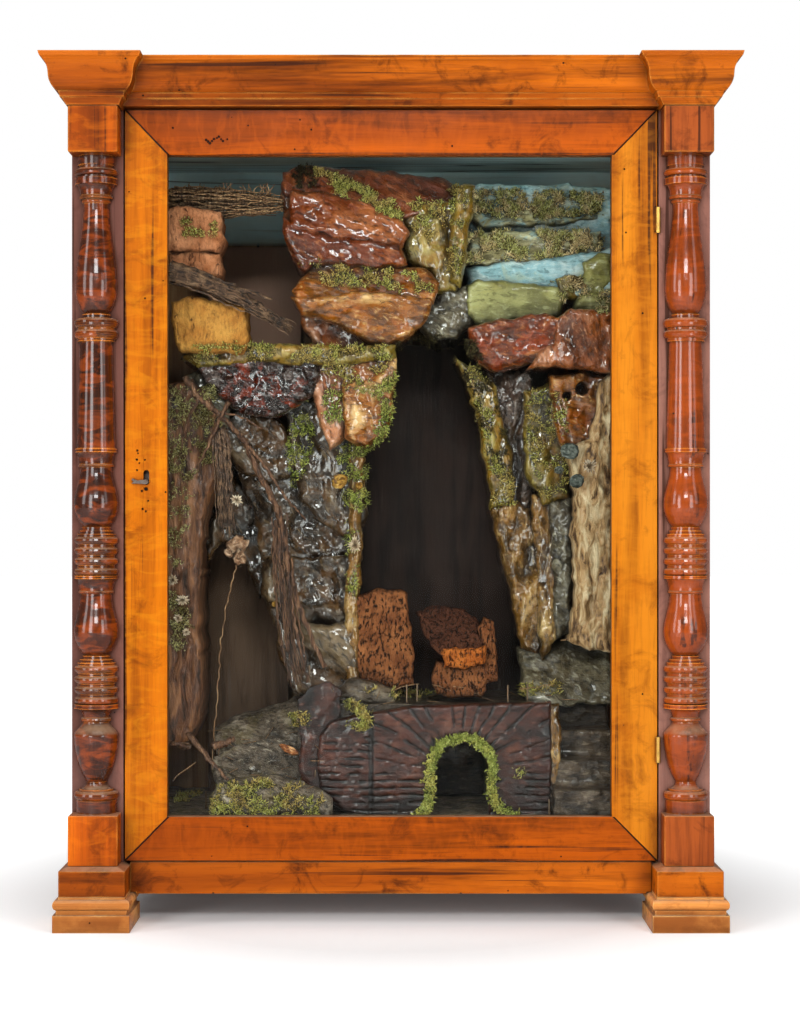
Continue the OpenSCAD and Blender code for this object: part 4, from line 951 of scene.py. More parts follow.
# Top right: pale ledges, drapes and the red rocks under them
group([
    rock("pale_ledge_back", "466,192 480,184 530,186 570,184 613,188 613,262 560,262 500,266 464,272", 0.16,
         0.262, blue_paint, 23, fold=0.01, wave=0.05, lean=0, spread=60),
    rock("ledge_upper", "472,196 520,194 560,197 600,198 598,214 560,222 520,224 480,226 470,214", 0.15,
         0.262, ledge_paint, 24, fold=0.01, lean=0, spread=60, shape=slope(0, -0.5, 530, 210)),
    rock("ledge_lower", "468,234 510,230 560,232 602,230 600,252 560,258 510,264 466,264", 0.125, 0.262,
         ledge_paint, 25, fold=0.01, lean=0, spread=60, shape=slope(0, -0.5, 530, 250)),
], "mossy_ledges")
group([
    rock("drape_blue", "466,270 500,262 548,258 586,252 613,246 613,300 586,296 560,292 520,286 470,290",
         0.115, 0.238, blue_paint, 27, wave=0.06, lean=8, spread=40, crumpled=0.001,
         shape=slope(0, -0.3, 540, 280)),
    rock("drape_green", "468,286 478,281 518,283 556,288 566,298 560,314 512,320 482,324 470,316", 0.1,
         0.238, green_paint, 28, fold=0.005, wave=0.06, lean=0, spread=60, crumpled=0.0008),
    rock("drape_mustard", "556,279 574,276 590,280 592,294 574,298 560,296", 0.11, 0.238, olive_paint, 29,
         fold=0.005),
    rock("drape_right", "586,262 600,254 613,252 613,318 596,316 576,306 580,290", 0.108, 0.238,
         green_paint, 30, fold=0.01),
], "draped_rocks")
group([
    rock("right_rock_red", "472,328 484,322 512,320 546,314 564,318 568,336 560,354 534,360 496,366 "
         "482,360 474,348", 0.072, 0.18, fire_paint, 31, fold=0.009, wave=0.02, lean=0, spread=120,
         shape=slope(0, 0.2, 520, 330)),
    rock("right_rock_orange", "556,322 568,310 590,308 613,312 613,372 596,368 560,364 530,364 540,354 "
         "556,344", 0.066, 0.18, orange_paint, 32, fold=0.014, wave=0.04, lean=75, spread=90),
], "right_rocks")

# Left: the ledge over the recess, crumpled rocks between the recess and the cave
group([
    rock("lava_rock", "196,360 216,352 262,350 308,352 318,376 308,396 278,414 244,412 222,396 204,376",
         0.07, 0.22, lava_paint, 37, fold=0.014, wave=0.02, lean=12, spread=120, crumpled=0.004),
    rock("ledge_rock_brown", "300,352 330,350 352,352 352,400 344,436 330,446 320,420 312,390", 0.08, 0.22,
         orange_paint, 39, fold=0.014, lean=70, spread=120),
    rock("ledge_rock_yellow", "342,354 360,348 392,350 396,366 390,410 384,436 362,446 346,438 342,396",
         0.072, 0.22, ochre_paint, 40, fold=0.012, wave=0.024, lean=80, spread=100),
    rock("ledge_top", "180,356 190,346 240,344 320,346 396,346 394,358 340,362 260,360 196,364", 0.066,
         0.22, olive_paint, 41, wave=0.02),
], "ledge_rocks")
group([
    rock("crag_left_edge", "166,384 190,380 206,392 212,412 208,450 214,480 200,520 196,600 200,700 "
         "190,742 166,748", 0.07, 0.19, brown_bark, 43, fold=0.014, lean=90, spread=50),
    rock("crag_grey_lump", "184,376 200,370 220,384 228,404 224,424 204,422 188,408", 0.088, 0.2,
         grey_paint, 44, fold=0.012),
    rock("crag_niche_side", "206,410 226,404 240,440 236,480 262,506 268,560 258,600 244,560 222,540 "
         "206,560 198,520 204,470", 0.14, 0.235, dark_paint, 45, fold=0.018, wave=0.036, lean=80,
         spread=110, crumpled=0.004),
    rock("crag_drape", "224,410 252,412 276,420 294,446 296,472 268,482 236,470 224,440", 0.105, 0.23,
         dark_paint, 46, fold=0.02, lean=50, spread=80, crumpled=0.004),
    rock("crag_under_ledge", "284,398 330,396 352,420 362,440 366,520 350,540 320,520 300,500 292,460",
         0.11, 0.24, dark_paint, 47, fold=0.018, wave=0.036, lean=80, spread=100, crumpled=0.004),
    rock("crag_crumpled_top", "236,470 292,468 330,488 356,500 360,560 340,576 300,580 262,566 256,520",
         0.12, 0.24, dark_paint, 48, fold=0.022, wave=0.04, lean=40, spread=160, crumpled=0.005),
    rock("crag_crumpled_middle", "262,556 310,560 352,556 356,620 340,640 300,640 272,626 262,590", 0.105,
         0.24, dark_paint, 49, fold=0.022, wave=0.034, lean=20, spread=160, crumpled=0.005),
    rock("crag_crumpled_foot", "276,616 320,628 354,622 358,690 318,700 296,694 280,660", 0.1, 0.24,
         dark_paint, 50, fold=0.02, wave=0.05, lean=30, spread=100),
    rock("crag_ridge", "352,440 364,444 360,520 358,600 357,690 346,690 346,620 350,540", 0.1, 0.24,
         fold_paint, 51, edge=0.006, wave=0.024, lean=90, spread=50),
], "left_crags")

# Right of the cave: glazed folds, an ochre rock and furrowed bark
group([
    rock("fold_moss_side", "458,358 478,372 492,384 504,424 512,460 512,506 494,508 488,462 480,420 "
         "470,384", 0.125, 0.24, olive_paint, 53, fold=0.012, wave=0.026, lean=80, spread=60),
    rock("fold_purple", "484,366 528,368 540,396 534,440 534,520 540,600 532,652 524,640 516,580 508,500 "
         "506,440 494,394", 0.135, 0.24, purple_paint, 54, fold=0.024, wave=0.026, lean=88, spread=36,
         crumpled=0.004),
    rock("fold_ochre", "492,506 514,500 530,508 540,560 546,620 540,660 524,650 516,606 504,550", 0.128,
         0.24, fold_paint, 55, fold=0.016, wave=0.022, lean=86, spread=36),
    rock("fold_moss_strip", "526,392 546,384 560,392 568,440 568,502 544,504 528,470 526,424", 0.118, 0.24,
         olive_paint, 56, fold=0.012, wave=0.026, lean=85, spread=60),
    rock("fold_plank", "534,496 560,498 560,560 556,640 544,664 540,600", 0.122, 0.24, fold_paint, 57,
         fold=0.016, lean=90, spread=30),
    rock("fold_grey", "552,500 572,498 574,560 570,636 556,640 554,560", 0.116, 0.24, grey_paint, 58,
         fold=0.014, wave=0.022, lean=88, spread=30, crumpled=0.004),
    rock("fold_holes", "552,376 580,372 606,376 608,440 588,448 566,446 556,414", 0.088, 0.21, ochre_paint,
         59, fold=0.014, lean=60, spread=100, cuts=pits("583,388,0.0062 568,395,0.0042 "
                   "597,420,0.003", 0.088)),
    rock("bark_right", "572,446 592,438 604,378 613,372 613,652 590,650 572,642 580,590 576,540 578,490",
         0.078, 0.2, pale_bark, 60, fold=0.016, wave=0.016, lean=86, spread=34, crumpled=0.005),
    rock("bark_slope", "520,650 548,650 572,636 613,644 613,704 560,704 528,700", 0.11, 0.24, grey_paint,
         61, fold=0.014, wave=0.05, lean=20, spread=100, shape=slope(0, -0.6, 570, 690)),
], "right_crags")


# The grooved block with its arch
def arch_hole(front):
    """The arch's outline in metres, from the ground up, a little larger than the opening in the solids."""
    left, right = (seen_at(px, 700, front).x for px in (430.5, 488.5))
    foot, spring, crown = (seen_at(460, py, front).z for py in (840, 770, 743))
    middle = (left + right) / 2
    half = (right - left) / 2
    angles = [math.radians(a) for a in range(0, 181, 9)]
    curve = [(middle + half * math.cos(a), spring + (crown - spring) * math.sin(a)) for a in angles]
    return np.array([(right, foot)] + curve + [(left, foot)])


def arch_grooves(front):
    """Lines cut in the paste: fanned round the arch, level at its sides and on the turned left end."""
    centre = seen_at(459, 774, front)
    bend = seen_at(BEND, 760, front).x
    top_left = seen_at(330, 737, front).z
    fan_step = math.radians(10.5)
    row_height = 0.0074

    def shape(x, z):
        spots = upright(x, z)
        wander = (fractal(spots, 0.02, 66) - 0.5) * 0.004
        radius = np.hypot(x - centre.x, z - centre.z)
        angle = np.arctan2(z - centre.z, np.abs(x - centre.x))
        turn = (angle + wander / 0.05) / fan_step
        fan = np.abs(turn - np.round(turn)) * fan_step * radius
        row = (z + wander - centre.z) / row_height
        level = np.abs(row - np.round(row)) * row_height
        gap = np.where(z > centre.z, fan, level)
        gap = np.where(x < bend, np.where(z < top_left, level, 1.0), gap)
        broken = fractal(spots, 0.012, 71)
        depth = 0.0016 * np.clip(1.4 - gap / 0.0011, 0, 1) * np.clip((broken - 0.36) * 5, 0, 1)
        return depth + 0.002 * np.clip(1 - np.abs(x - bend) / 0.003, 0, 1)
    return shape


def turned_end(front):
    """The block's left end, turned back from the bend."""
    bend = seen_at(BEND, 760, front).x
    right = seen_at(540, 760, front).x
    return lambda x, z: 0.16 * np.clip(bend - x, 0, None) + 0.05 * np.clip(x - right, 0, None)


BEND = 371
BLOCK_FRONT = 0.0555
group([
    rock("arch_face", "318,738 330,722 352,716 372,712 410,707 470,705 530,703 551,702 553,740 552,800 "
         "553,822 470,826 400,822 345,814 322,800 316,770", BLOCK_FRONT, 0.0745, clay_paint, 63, edge=0.004,
         fold=0.003, crumpled=0.0008, jitter=0.0012, step=0.0011, grow=0.0, shape=turned_end(BLOCK_FRONT),
         cuts=arch_grooves(BLOCK_FRONT), hole=arch_hole(BLOCK_FRONT)),
    rock("arch_edge", "547,706 560,703 562,740 559,780 561,818 548,818 550,760", 0.0565, 0.0745, fold_paint,
         64, edge=0.004, fold=0.004, wave=0.02, crumpled=0.002, jitter=0.0016, step=0.0014, grow=0.0),
], "arch_block")

# Cork blocks: three in the left niche, a pillar and a tilted pair on the stage
group([
    rock("cork_niche_top", "166,209 190,207 219,213 221,236 218,250 196,248 166,250", 0.05, 0.11,
         niche_cork, 71, edge=0.005, fold=0.005, wave=0.014, lean=90, spread=40, crumpled=0.002, step=0.0016),
    rock("cork_niche_middle", "168,253 196,251 218,254 219,274 200,280 172,278", 0.055, 0.11, niche_cork,
         72, edge=0.005, fold=0.005, wave=0.014, lean=90, spread=40, step=0.0016),
], "cork_blocks")
group([
    rock("cork_niche_low", "171,302 188,298 220,302 243,304 246,330 243,350 200,350 178,350 174,326", 0.045,
         0.11, cork_ochre, 73, edge=0.005, fold=0.006, wave=0.012, lean=90, spread=24, crumpled=0.002,
         step=0.0016),
], "cork_blocks")
group([
    rock("cork_pillar", "358,598 372,593 398,593 406,596 410,640 411,684 396,686 366,685 356,670 355,630",
         0.102, 0.147, cork_paint, 75, edge=0.005, fold=0.007, wave=0.012, lean=90, spread=50, step=0.0014),
    rock("cork_lower_block", "438,664 484,662 486,690 480,697 452,698 438,694 434,680", 0.098, 0.14,
         cork_paint, 76, edge=0.004, fold=0.005, wave=0.01, lean=90, spread=60, step=0.0014),
    rock("cork_slab_edge", "442,650 466,652 484,649 485,664 466,668 446,667", 0.088, 0.14, cork_bright, 77,
         edge=0.003, fold=0.005, wave=0.008, lean=90, spread=20, crumpled=0.002, step=0.0012),
    rock("cork_slab_side", "484,648 482,628 486,620 492,622 495,650 496,680 488,684 484,668", 0.1, 0.14,
         cork_paint, 78, edge=0.003, fold=0.005, wave=0.012, step=0.0014),
    rock("cork_slab_top", "417,614 432,610 446,609 466,612 479,624 485,640 485,650 466,653 444,654 "
         "434,646 424,630", 0.09, 0.14, cork_dark, 79, edge=0.004, fold=0.006, wave=0.014, step=0.0014,
         shape=slope(0.0, -0.9, 450, 652)),
], "stage_corks")


# Roughened forms: ground, stage, steps and mounds
def roughen(name, node, material, cell, rise, size, seed):
    """A modelled skin over a landscape node: even cells pushed in and out by noise."""
    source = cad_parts[node]
    copy = bpy.data.objects.new(name, source.data.copy())
    bpy.context.scene.collection.objects.link(copy)
    copy.matrix_world = source.matrix_world
    for old in list(copy.modifiers):
        copy.modifiers.remove(old)
    cells = copy.modifiers.new("cells", "REMESH")
    cells.mode = "VOXEL"
    cells.voxel_size = cell
    bpy.context.view_layer.update()
    evaluated = copy.evaluated_get(bpy.context.evaluated_depsgraph_get())
    mesh = bpy.data.meshes.new_from_object(evaluated)
    bpy.data.objects.remove(copy)
    points, normals = np.empty((2, len(mesh.vertices) * 3))
    mesh.vertices.foreach_get("co", points)
    mesh.vertices.foreach_get("normal", normals)
    points = points.reshape(-1, 3)
    broad = fractal(points, size, seed)
    fold = crumple(points, size * 0.8, seed + 3)
    points = points + normals.reshape(-1, 3) * (rise * (0.75 * broad + 0.6 * fold - 0.75))[:, None]
    faces = [tuple(polygon.vertices) for polygon in mesh.polygons]
    # The noise height as tone: the painted finishes darken the hollows from it as painted shade and lighten
    # the rises as painted light.
    piece = new_piece(name, points, faces, material, np.clip(0.5 * broad + 0.5 * fold, 0, 1))
    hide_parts(node)
    ROCKS.append(piece)


roughen("ground_skin", "ground", earth_paint, 0.003, 0.006, 0.03, 81)
roughen("stage_skin", "stage", step_paint, 0.0035, 0.005, 0.04, 82)
roughen("steps_skin", "stone_steps", step_paint, 0.003, 0.005, 0.03, 83)
group([
    rock("mound_back", "210,735 232,722 262,716 290,706 304,700 314,712 308,745 284,762 246,764 216,756",
         0.112, 0.18, earth_paint, 85, edge=0.02, fold=0.016, lean=20, spread=100,
         shape=slope(0.0, -0.7, 260, 760)),
    rock("mound_front", "212,762 240,750 276,742 302,748 318,762 322,790 300,800 230,800 212,784", 0.075,
         0.108, earth_paint, 86, edge=0.018, fold=0.01, lean=20, spread=100,
         shape=slope(0.0, -0.6, 260, 796)),
    rock("mound_moss", "210,796 220,786 250,780 282,782 310,790 328,800 330,822 210,822", 0.03, 0.056,
         earth_paint, 87, edge=0.014, fold=0.006, wave=0.02),
    rock("post_red", "300,700 312,690 330,684 340,690 338,712 326,734 316,760 322,800 310,800 300,770 "
         "302,730", 0.066, 0.073, clay_paint, 88, edge=0.006, fold=0.004, wave=0.02, lean=90, spread=70),
    rock("post_knoll", "338,690 352,682 376,684 392,692 400,704 376,708 350,712 338,706", 0.082, 0.108,
         step_paint, 89, edge=0.008, fold=0.006, wave=0.02),
], "mounds")


# Sticks, roots, bark fibres and straw
def curve_through(points, count):
    """Evenly numbered points on a smooth line through the given ones."""
    points = np.array(points)
    padded = np.vstack([2 * points[0] - points[1], points, 2 * points[-1] - points[-2]])
    spots = []
    for n in range(count):
        place = n / (count - 1) * (len(points) - 1)
        i = min(int(place), len(points) - 2)
        t = place - i
        a, b, c, d = padded[i:i + 4]
        spots.append(0.5 * (2 * b + (c - a) * t + (2 * a - 5 * b + 4 * c - d) * t * t
                            + (3 * b - a - 3 * c + d) * t ** 3))
    return np.array(spots)


def tube(points, radii, sides, seed, rough=0.25):
    """Vertices and faces of an irregular closed stick."""
    draw = np.random.default_rng(seed)
    ways = np.gradient(points, axis=0)
    ways /= np.linalg.norm(ways, axis=1)[:, None]
    flank = np.cross(ways, [0.31, 0.89, 0.33])
    flank /= np.linalg.norm(flank, axis=1)[:, None]
    up = np.cross(flank, ways)
    ribs = 1 + rough * (draw.random(sides) - 0.5) * 2
    vertices = []
    for n, (spot, radius) in enumerate(zip(points, radii)):
        swell = 1 + rough * (draw.random(sides) - 0.5)
        for side in range(sides):
            angle = math.tau * side / sides + 0.03 * n
            out = flank[n] * math.cos(angle) + up[n] * math.sin(angle)
            vertices.append(spot + out * radius * ribs[side] * swell[side])
    faces = []
    for n in range(len(points) - 1):
        for side in range(sides):
            after = (side + 1) % sides
            faces.append((n * sides + side, n * sides + after,
                          (n + 1) * sides + after, (n + 1) * sides + side))
    last = (len(points) - 1) * sides
    faces.append(tuple(range(sides - 1, -1, -1)))
    faces.append(tuple(last + side for side in range(sides)))
    return vertices, faces


def sticks(name, lines, material, seed, sides=7, node=None, rough=0.3):
    """One piece of several sticks: each a list of (px, py, depth) with its first and last radius."""
    draw = np.random.default_rng(seed)
    vertices, faces, tones = [], [], []
    for path, thick, thin in lines:
        spots = np.array([seen_at(*place) for place in path])
        length = np.linalg.norm(np.diff(spots, axis=0), axis=1).sum()
        count = max(6, int(length / 0.005))
        points = curve_through(spots, count) + 0.0012 * (draw.random((count, 3)) - 0.5) * 2
        radii = np.linspace(thick, thin, count) * (1 + 0.25 * (draw.random(count) - 0.5))
        more, more_faces = tube(points, radii, sides, int(draw.integers(1e6)), rough)
        faces += [tuple(len(vertices) + v for v in face) for face in more_faces]
        vertices += more
        tones += list(draw.random(len(more)))
    piece = new_piece(name, vertices, faces, material, tones)
    if node:
        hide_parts(node)


def brushwood():
    """A bundle of thin stalks that leans on the niche's edge."""
    draw = np.random.default_rng(91)
    lines = []
    for _ in range(95):
        height = draw.random()
        left = 166 + 22 * draw.random() ** 2
        right = 283 - 30 * draw.random() ** 2
        py = 189 + 25 * height
        lift = draw.normal(0, 1.6)
        depth = 0.078 + 0.026 * draw.random()
        lines.append(([(left, py + draw.normal(0, 1.5), depth), ((left + right) / 2, py + lift + 2, depth),
                       (right, py * 0.6 + 0.4 * 208 + draw.normal(0, 2), depth + 0.004)], 0.0011, 0.0005))
    for _ in range(26):
        px = 178 + 95 * draw.random()
        lines.append(([(px, 196, 0.085), (px + draw.normal(0, 2), 190, 0.083),
                       (px + draw.normal(0, 4), 186 - 3 * draw.random(), 0.082)], 0.0009, 0.0004))
    sticks("brushwood", lines, straw_bark, 92, 5, "twigs")


def fibrous(name, path, strands, width, material, seed, radius=0.001):
    """A bundle of strands that follow one path."""
    draw = np.random.default_rng(seed)
    lines = []
    for _ in range(strands):
        shift = draw.normal(0, width, 2)
        start = draw.random() * 0.25
        bent = [(px + shift[0] + draw.normal(0, 1.2), py + shift[1] + draw.normal(0, 1.5),
                 depth - 0.004 * draw.random()) for px, py, depth in path]
        lines.append((bent[int(start * len(bent)):], radius * (0.7 + 0.8 * draw.random()), radius * 0.4))
    sticks(name, lines, material, seed + 1, 5)


brushwood()
sticks("driftwood", [
    (rows("166,267,0.04 196,277,0.043 230,291,0.05 262,309,0.058 285,325,0.064"), 0.0078, 0.0028),
    (rows("166,276,0.041 200,285,0.045 240,302,0.053 266,318,0.06"), 0.005, 0.002),
    (rows("230,290,0.049 252,292,0.05 272,300,0.055"), 0.0026, 0.001),
    (rows("182,268,0.04 210,276,0.044 236,286,0.05"), 0.003, 0.0012)], wood_fibre, 93, 8, "twigs", rough=0.4)
fibrous("driftwood_fibres", rows("164,270,0.036 196,281,0.038 230,295,0.045 262,312,0.053 288,327,0.06"),
        44, 2.9, wood_fibre, 192, radius=0.0013)
sticks("fallen_stick", [
    (rows("186,378,0.05 199,398,0.052 216,412,0.054 236,432,0.06 249,451,0.066 262,480,0.072 "
          "276,508,0.078 286,552,0.088 300,610,0.09 325,667,0.088"), 0.0036, 0.0022),
    (rows("228,402,0.05 214,432,0.055 197,469,0.06"), 0.0022, 0.001),
    (rows("236,432,0.059 262,462,0.066 288,500,0.076 306,520,0.09"), 0.0018, 0.0008),
    (rows("286,552,0.086 290,590,0.088 298,640,0.088 308,682,0.085"), 0.0028, 0.0012),
    (rows("199,398,0.05 188,420,0.055 180,452,0.06"), 0.0016, 0.0007),
    (rows("216,412,0.053 244,418,0.055 262,430,0.06"), 0.0014, 0.0007)], stick_bark, 94, 8, "twigs")
fibrous("hanging_bark", rows("220,430,0.062 222,460,0.062 224,490,0.064 226,528,0.066"), 34, 4.2,
        wood_fibre, 95)
fibrous("roots", rows("282,520,0.086 282,560,0.088 286,600,0.088 290,640,0.088 298,678,0.086"), 22, 5.0,
        stick_bark, 97)
sticks("floor_twig", [
    (rows("187,733,0.05 196,742,0.048 206,756,0.044 216,768,0.04 229,780,0.036"), 0.0034, 0.0018),
    (rows("172,742,0.05 190,748,0.048"), 0.003, 0.002),
    (rows("212,748,0.05 234,740,0.055"), 0.0035, 0.0025)], stick_bark, 98, 8)
sticks("straws", [
    (rows("236,565,0.07 224,620,0.07 218,680,0.07 212,770,0.06"), 0.0006, 0.0006),
    (rows("172,780,0.03 196,762,0.034"), 0.0007, 0.0004),
    (rows("390,690,0.09 420,684,0.095"), 0.0007, 0.0004),
    (rows("520,690,0.09 556,684,0.1"), 0.0007, 0.0004),
    (rows("560,640,0.1 600,630,0.095"), 0.0006, 0.0003)], straw_bark, 99, 5)


# Moss, leaves and small things: moss and straws laid on what the eye meets at each place, the rest at given
# depths
def landscape_tree():
    """All landscape surfaces in one search tree."""
    vertices, faces = [], []
    for piece in ROCKS:
        start = len(vertices)
        vertices += [piece.matrix_world @ v.co for v in piece.data.vertices]
        faces += [[start + v for v in polygon.vertices] for polygon in piece.data.polygons]
    return BVHTree.FromPolygons(vertices, faces)


TREE = landscape_tree()


def laid_at(px, py):
    """Where the line of sight through a pixel meets the landscape, with the surface's direction."""
    way = (seen_at(px, py, 0.1) - EYE).normalized()
    spot, normal, _, _ = TREE.ray_cast(EYE + way * (VIEW_DISTANCE * 0.5), way)
    if spot is None or spot.y > BOARD_FACE + 0.235:
        return None
    if normal.dot(way) > 0:
        normal = -normal
    return spot, normal


def blade(vertices, faces, tones, foot, way, side, length, width, tone):
    """A closed three-sided curved blade."""
    up = way.cross(side).normalized()
    start = len(vertices)
    for share, wide, rise in ((0.0, 1.0, 0.0), (0.5, 0.9, 0.16)):
        centre = foot + way * (length * share) + up * (length * rise)
        vertices += [centre + way_out * (width * wide) for way_out in (side, -side, up)]
    vertices.append(foot + way * length + up * (length * 0.05))
    for n in range(3):
        a, b = start + n, start + (n + 1) % 3
        faces.append((a, b, b + 3, a + 3))
        faces.append((a + 3, b + 3, start + 6))
    faces.append((start + 2, start + 1, start))
    # Tones fall towards the root: painted shade at the foot of each blade, paler towards its tip.
    tones += [tone * 0.2] * 3 + [tone * 0.75] * 3 + [tone]


def moss(name, patches, material, seed, length=0.0031):
    """Tufts of blades over patches of pixels: each patch an outline and a number of tufts."""
    draw = np.random.default_rng(seed)
    vertices, faces, tones = [], [], []
    for outline, count in patches:
        flat = np.array(rows(outline))
        low, high = flat.min(axis=0), flat.max(axis=0)
        placed = 0
        tries = 0
        while placed < 0.9 * count and tries < count * 12:
            tries += 1
            spot = low + (high - low) * draw.random(2)
            if not inside_outline(spot[None, :], flat)[0]:
                continue
            if soft_noise(np.array([[spot[0], 0, spot[1]]]), 9.0, seed)[0] < 0.4:
                continue
            met = laid_at(*spot)
            if met is None:
                continue
            placed += 1
            foot, normal = met
            tuft = draw.random()
            size = length * (0.6 + 0.9 * draw.random())
            for _ in range(8):
                way = (normal * (0.35 + 0.5 * draw.random()) + Vector(draw.normal(0, 0.55, 3))
                       + Vector((0, -0.15, 0.2))).normalized()
                side = way.cross(Vector(draw.normal(0, 1, 3))).normalized()
                start = foot - normal * 0.0006 + Vector(draw.normal(0, 0.0014, 3))
                blade(vertices, faces, tones, start, way, side, size * (0.6 + 0.7 * draw.random()),
                      0.00048 * (0.7 + 0.7 * draw.random()), min(1.0, 0.35 * tuft + 0.65 * draw.random()))
    new_piece(name, vertices, faces, material, tones, smooth=False)


moss_yellow = moss_paint("moss_yellow", "248,244,176 192,190,94 58,52,18 204,170,96")
moss_green = moss_paint("moss_green", "238,242,158 162,174,76 44,50,14 192,186,96")
moss_pale = moss_paint("moss_pale", "255,250,206 206,200,132 84,72,36 176,160,96")
moss_brown = moss_paint("moss_brown", "255,250,214 232,206,150 76,56,26 190,194,108")
moss_dark = moss_paint("moss_dark", "130,120,70 70,62,32 18,15,7 60,44,24")
moss_garland = moss_paint("moss_garland", "224,226,142 156,164,76 46,52,16 196,184,92")
moss("moss_upper_left", [
    ("313,168 336,174 362,186 392,200 406,212 400,220 370,208 340,196 318,184", 420),
    ("400,208 420,200 442,202 446,230 430,240 412,228 402,218", 150),
    ("448,188 462,184 468,200 462,230 452,226", 90),
    ("300,262 330,262 380,268 430,276 434,296 400,292 350,286 310,286", 300),
    ("450,236 462,240 458,280 444,284", 60)], moss_yellow, 201)
moss("moss_ledges", [
    ("472,192 520,190 570,192 602,196 600,212 560,218 510,218 474,216", 760),
    ("468,234 510,230 560,232 604,230 600,252 560,256 500,262 466,262", 700),
    ("548,282 570,276 592,280 590,298 560,300", 60),
    ("594,292 613,292 613,314 596,312", 50)], moss_brown, 202, length=0.0042)
moss("moss_ledge_tops", [
    ("185,346 240,344 320,345 396,345 396,358 340,360 260,360 190,362", 420),
    ("176,220 216,222 216,236 178,236", 80),
    ("320,362 344,360 392,364 396,392 370,396 334,388", 160)], moss_yellow, 203)
moss("moss_left_columns", [
    ("374,392 396,372 396,400 388,440 374,446", 190),
    ("288,402 306,400 316,430 306,470 292,490 286,450", 200),
    ("322,392 342,390 342,420 326,424", 90),
    ("338,446 374,446 372,500 358,512 342,500", 250),
    ("345,520 358,520 357,600 347,600", 60)], moss_green, 204)
moss("moss_left_edge", [
    ("168,388 214,384 222,420 214,470 186,480 168,470", 460),
    ("168,480 190,490 186,560 170,570", 90),
    ("168,590 190,600 192,650 172,650", 150)], moss_pale, 208)
moss("moss_cave_edge", [
    ("396,340 430,334 474,340 482,360 470,378 430,372 400,372", 260),
    ("290,164 312,162 316,186 298,190", 90),
    ("462,372 484,368 496,400 508,440 512,480 500,490 486,450 474,400", 170)], moss_dark, 205)
moss("moss_right_columns", [
    ("488,470 512,470 514,504 494,506", 110),
    ("526,392 548,384 566,400 568,450 566,492 542,498 528,450", 330),
    ("466,368 482,366 496,420 502,470 492,470 478,410", 130)], moss_yellow, 206)
moss("moss_clumps", [
    ("338,704 352,700 366,706 370,728 360,730 344,722", 130),
    ("212,800 222,784 262,780 304,784 328,800 328,817 212,817", 420),
    ("290,714 306,712 310,724 292,726", 40),
    ("516,770 524,768 524,776 516,778", 10),
    ("170,770 200,776 206,800 170,804", 70),
    ("364,690 430,686 440,696 380,700", 50),
    ("500,684 560,682 564,694 504,696", 50)], moss_yellow, 207, length=0.0042)


def garland():
    """The leafy moss rope round the arch."""
    draw = np.random.default_rng(211)
    line = curve_through(rows("418,818 427,806 431,785 430,765 438,748 455,739 472,739 487,750 492,768 "
                              "492,790 498,806 514,816"), 90)
    vertices, faces, tones = [], [], []
    for px, py in line:
        for _ in range(12):
            centre = seen_at(px + draw.normal(0, 2.4), py + draw.normal(0, 2.4),
                             0.0535 - 0.003 * draw.random())
            tuft = draw.random()
            for _ in range(4):
                way = (Vector((0, -0.55, 0.1)) + Vector(draw.normal(0, 0.7, 3))).normalized()
                side = way.cross(Vector(draw.normal(0, 1, 3))).normalized()
                blade(vertices, faces, tones, centre, way, side, 0.0034 * (0.6 + 0.8 * draw.random()),
                      0.0009 * (0.7 + 0.6 * draw.random()), min(1.0, 0.4 * tuft + 0.6 * draw.random()))
    new_piece("moss_garland", vertices, faces, moss_garland, tones, smooth=False)


garland()


def leaf(name, centre_px, depth, half, curl, material, seed, notch=0.12, turn=0.0, thick=0.0005):
    """A curled leaf or chip seen nearly face on, closed, its outline an uneven oval."""
    draw = np.random.default_rng(seed)
    middle = seen_at(*centre_px, depth)
    rings, sides = 4, 10
    vertices, faces = [], []
    lean = draw.normal(0, 0.35, 2)
    for side_of in (0, 1):
        for ring in range(1, rings + 1):
            for n in range(sides):
                angle = math.tau * n / sides
                reach = ring / rings * (1 + (notch * (draw.random() - 0.5) if ring == rings else 0))
                a = half[0] * reach * math.cos(angle)
                b = half[1] * reach * math.sin(angle)
                x = a * math.cos(turn) - b * math.sin(turn)
                z = a * math.sin(turn) + b * math.cos(turn)
                y = curl * (a / half[0]) ** 2 * half[0] + lean[0] * x + lean[1] * z + side_of * thick
                vertices.append(middle + Vector((x, y, z)))
        vertices.append(middle + Vector((0, side_of * thick, 0)))
    block = rings * sides + 1
    for side_of in (0, 1):
        start = side_of * block
        for n in range(sides):
            after = (n + 1) % sides
            strip = [(start + block - 1, start + n, start + after)]
            for ring in range(rings - 1):
                a, b = start + ring * sides, start + (ring + 1) * sides
                strip.append((a + n, b + n, b + after, a + after))
            faces += strip if side_of else [tuple(reversed(face)) for face in strip]
    rim = (rings - 1) * sides
    for n in range(sides):
        after = (n + 1) % sides
        faces.append((rim + n, rim + after, block + rim + after, block + rim + n))
    new_piece(name, vertices, faces, material, draw.random(len(vertices)))


def daisy(name, px, py, depth, reach, petals, seed):
    """A dried flower: thin petals round a small head."""
    draw = np.random.default_rng(seed)
    vertices, faces, tones = [], [], []
    middle = seen_at(px, py, depth - 0.003)
    for n in range(petals):
        angle = math.tau * (n + 0.5 * draw.random()) / petals
        way = Vector((math.cos(angle), -0.35 - 0.3 * draw.random(), math.sin(angle))).normalized()
        side = way.cross(Vector((0, 1, 0.1))).normalized()
        blade(vertices, faces, tones, middle, way, side, reach * (0.85 + 0.4 * draw.random()), 0.0017, 1.0)
    for _ in range(26):
        way = Vector(draw.normal(0, 1, 3)).normalized()
        side = way.cross(Vector((0.2, 1, 0.4))).normalized()
        blade(vertices, faces, tones, middle, way, side, 0.0026, 0.0007, 0.25)
    new_piece(name, vertices, faces, petal_paint, tones, smooth=False)


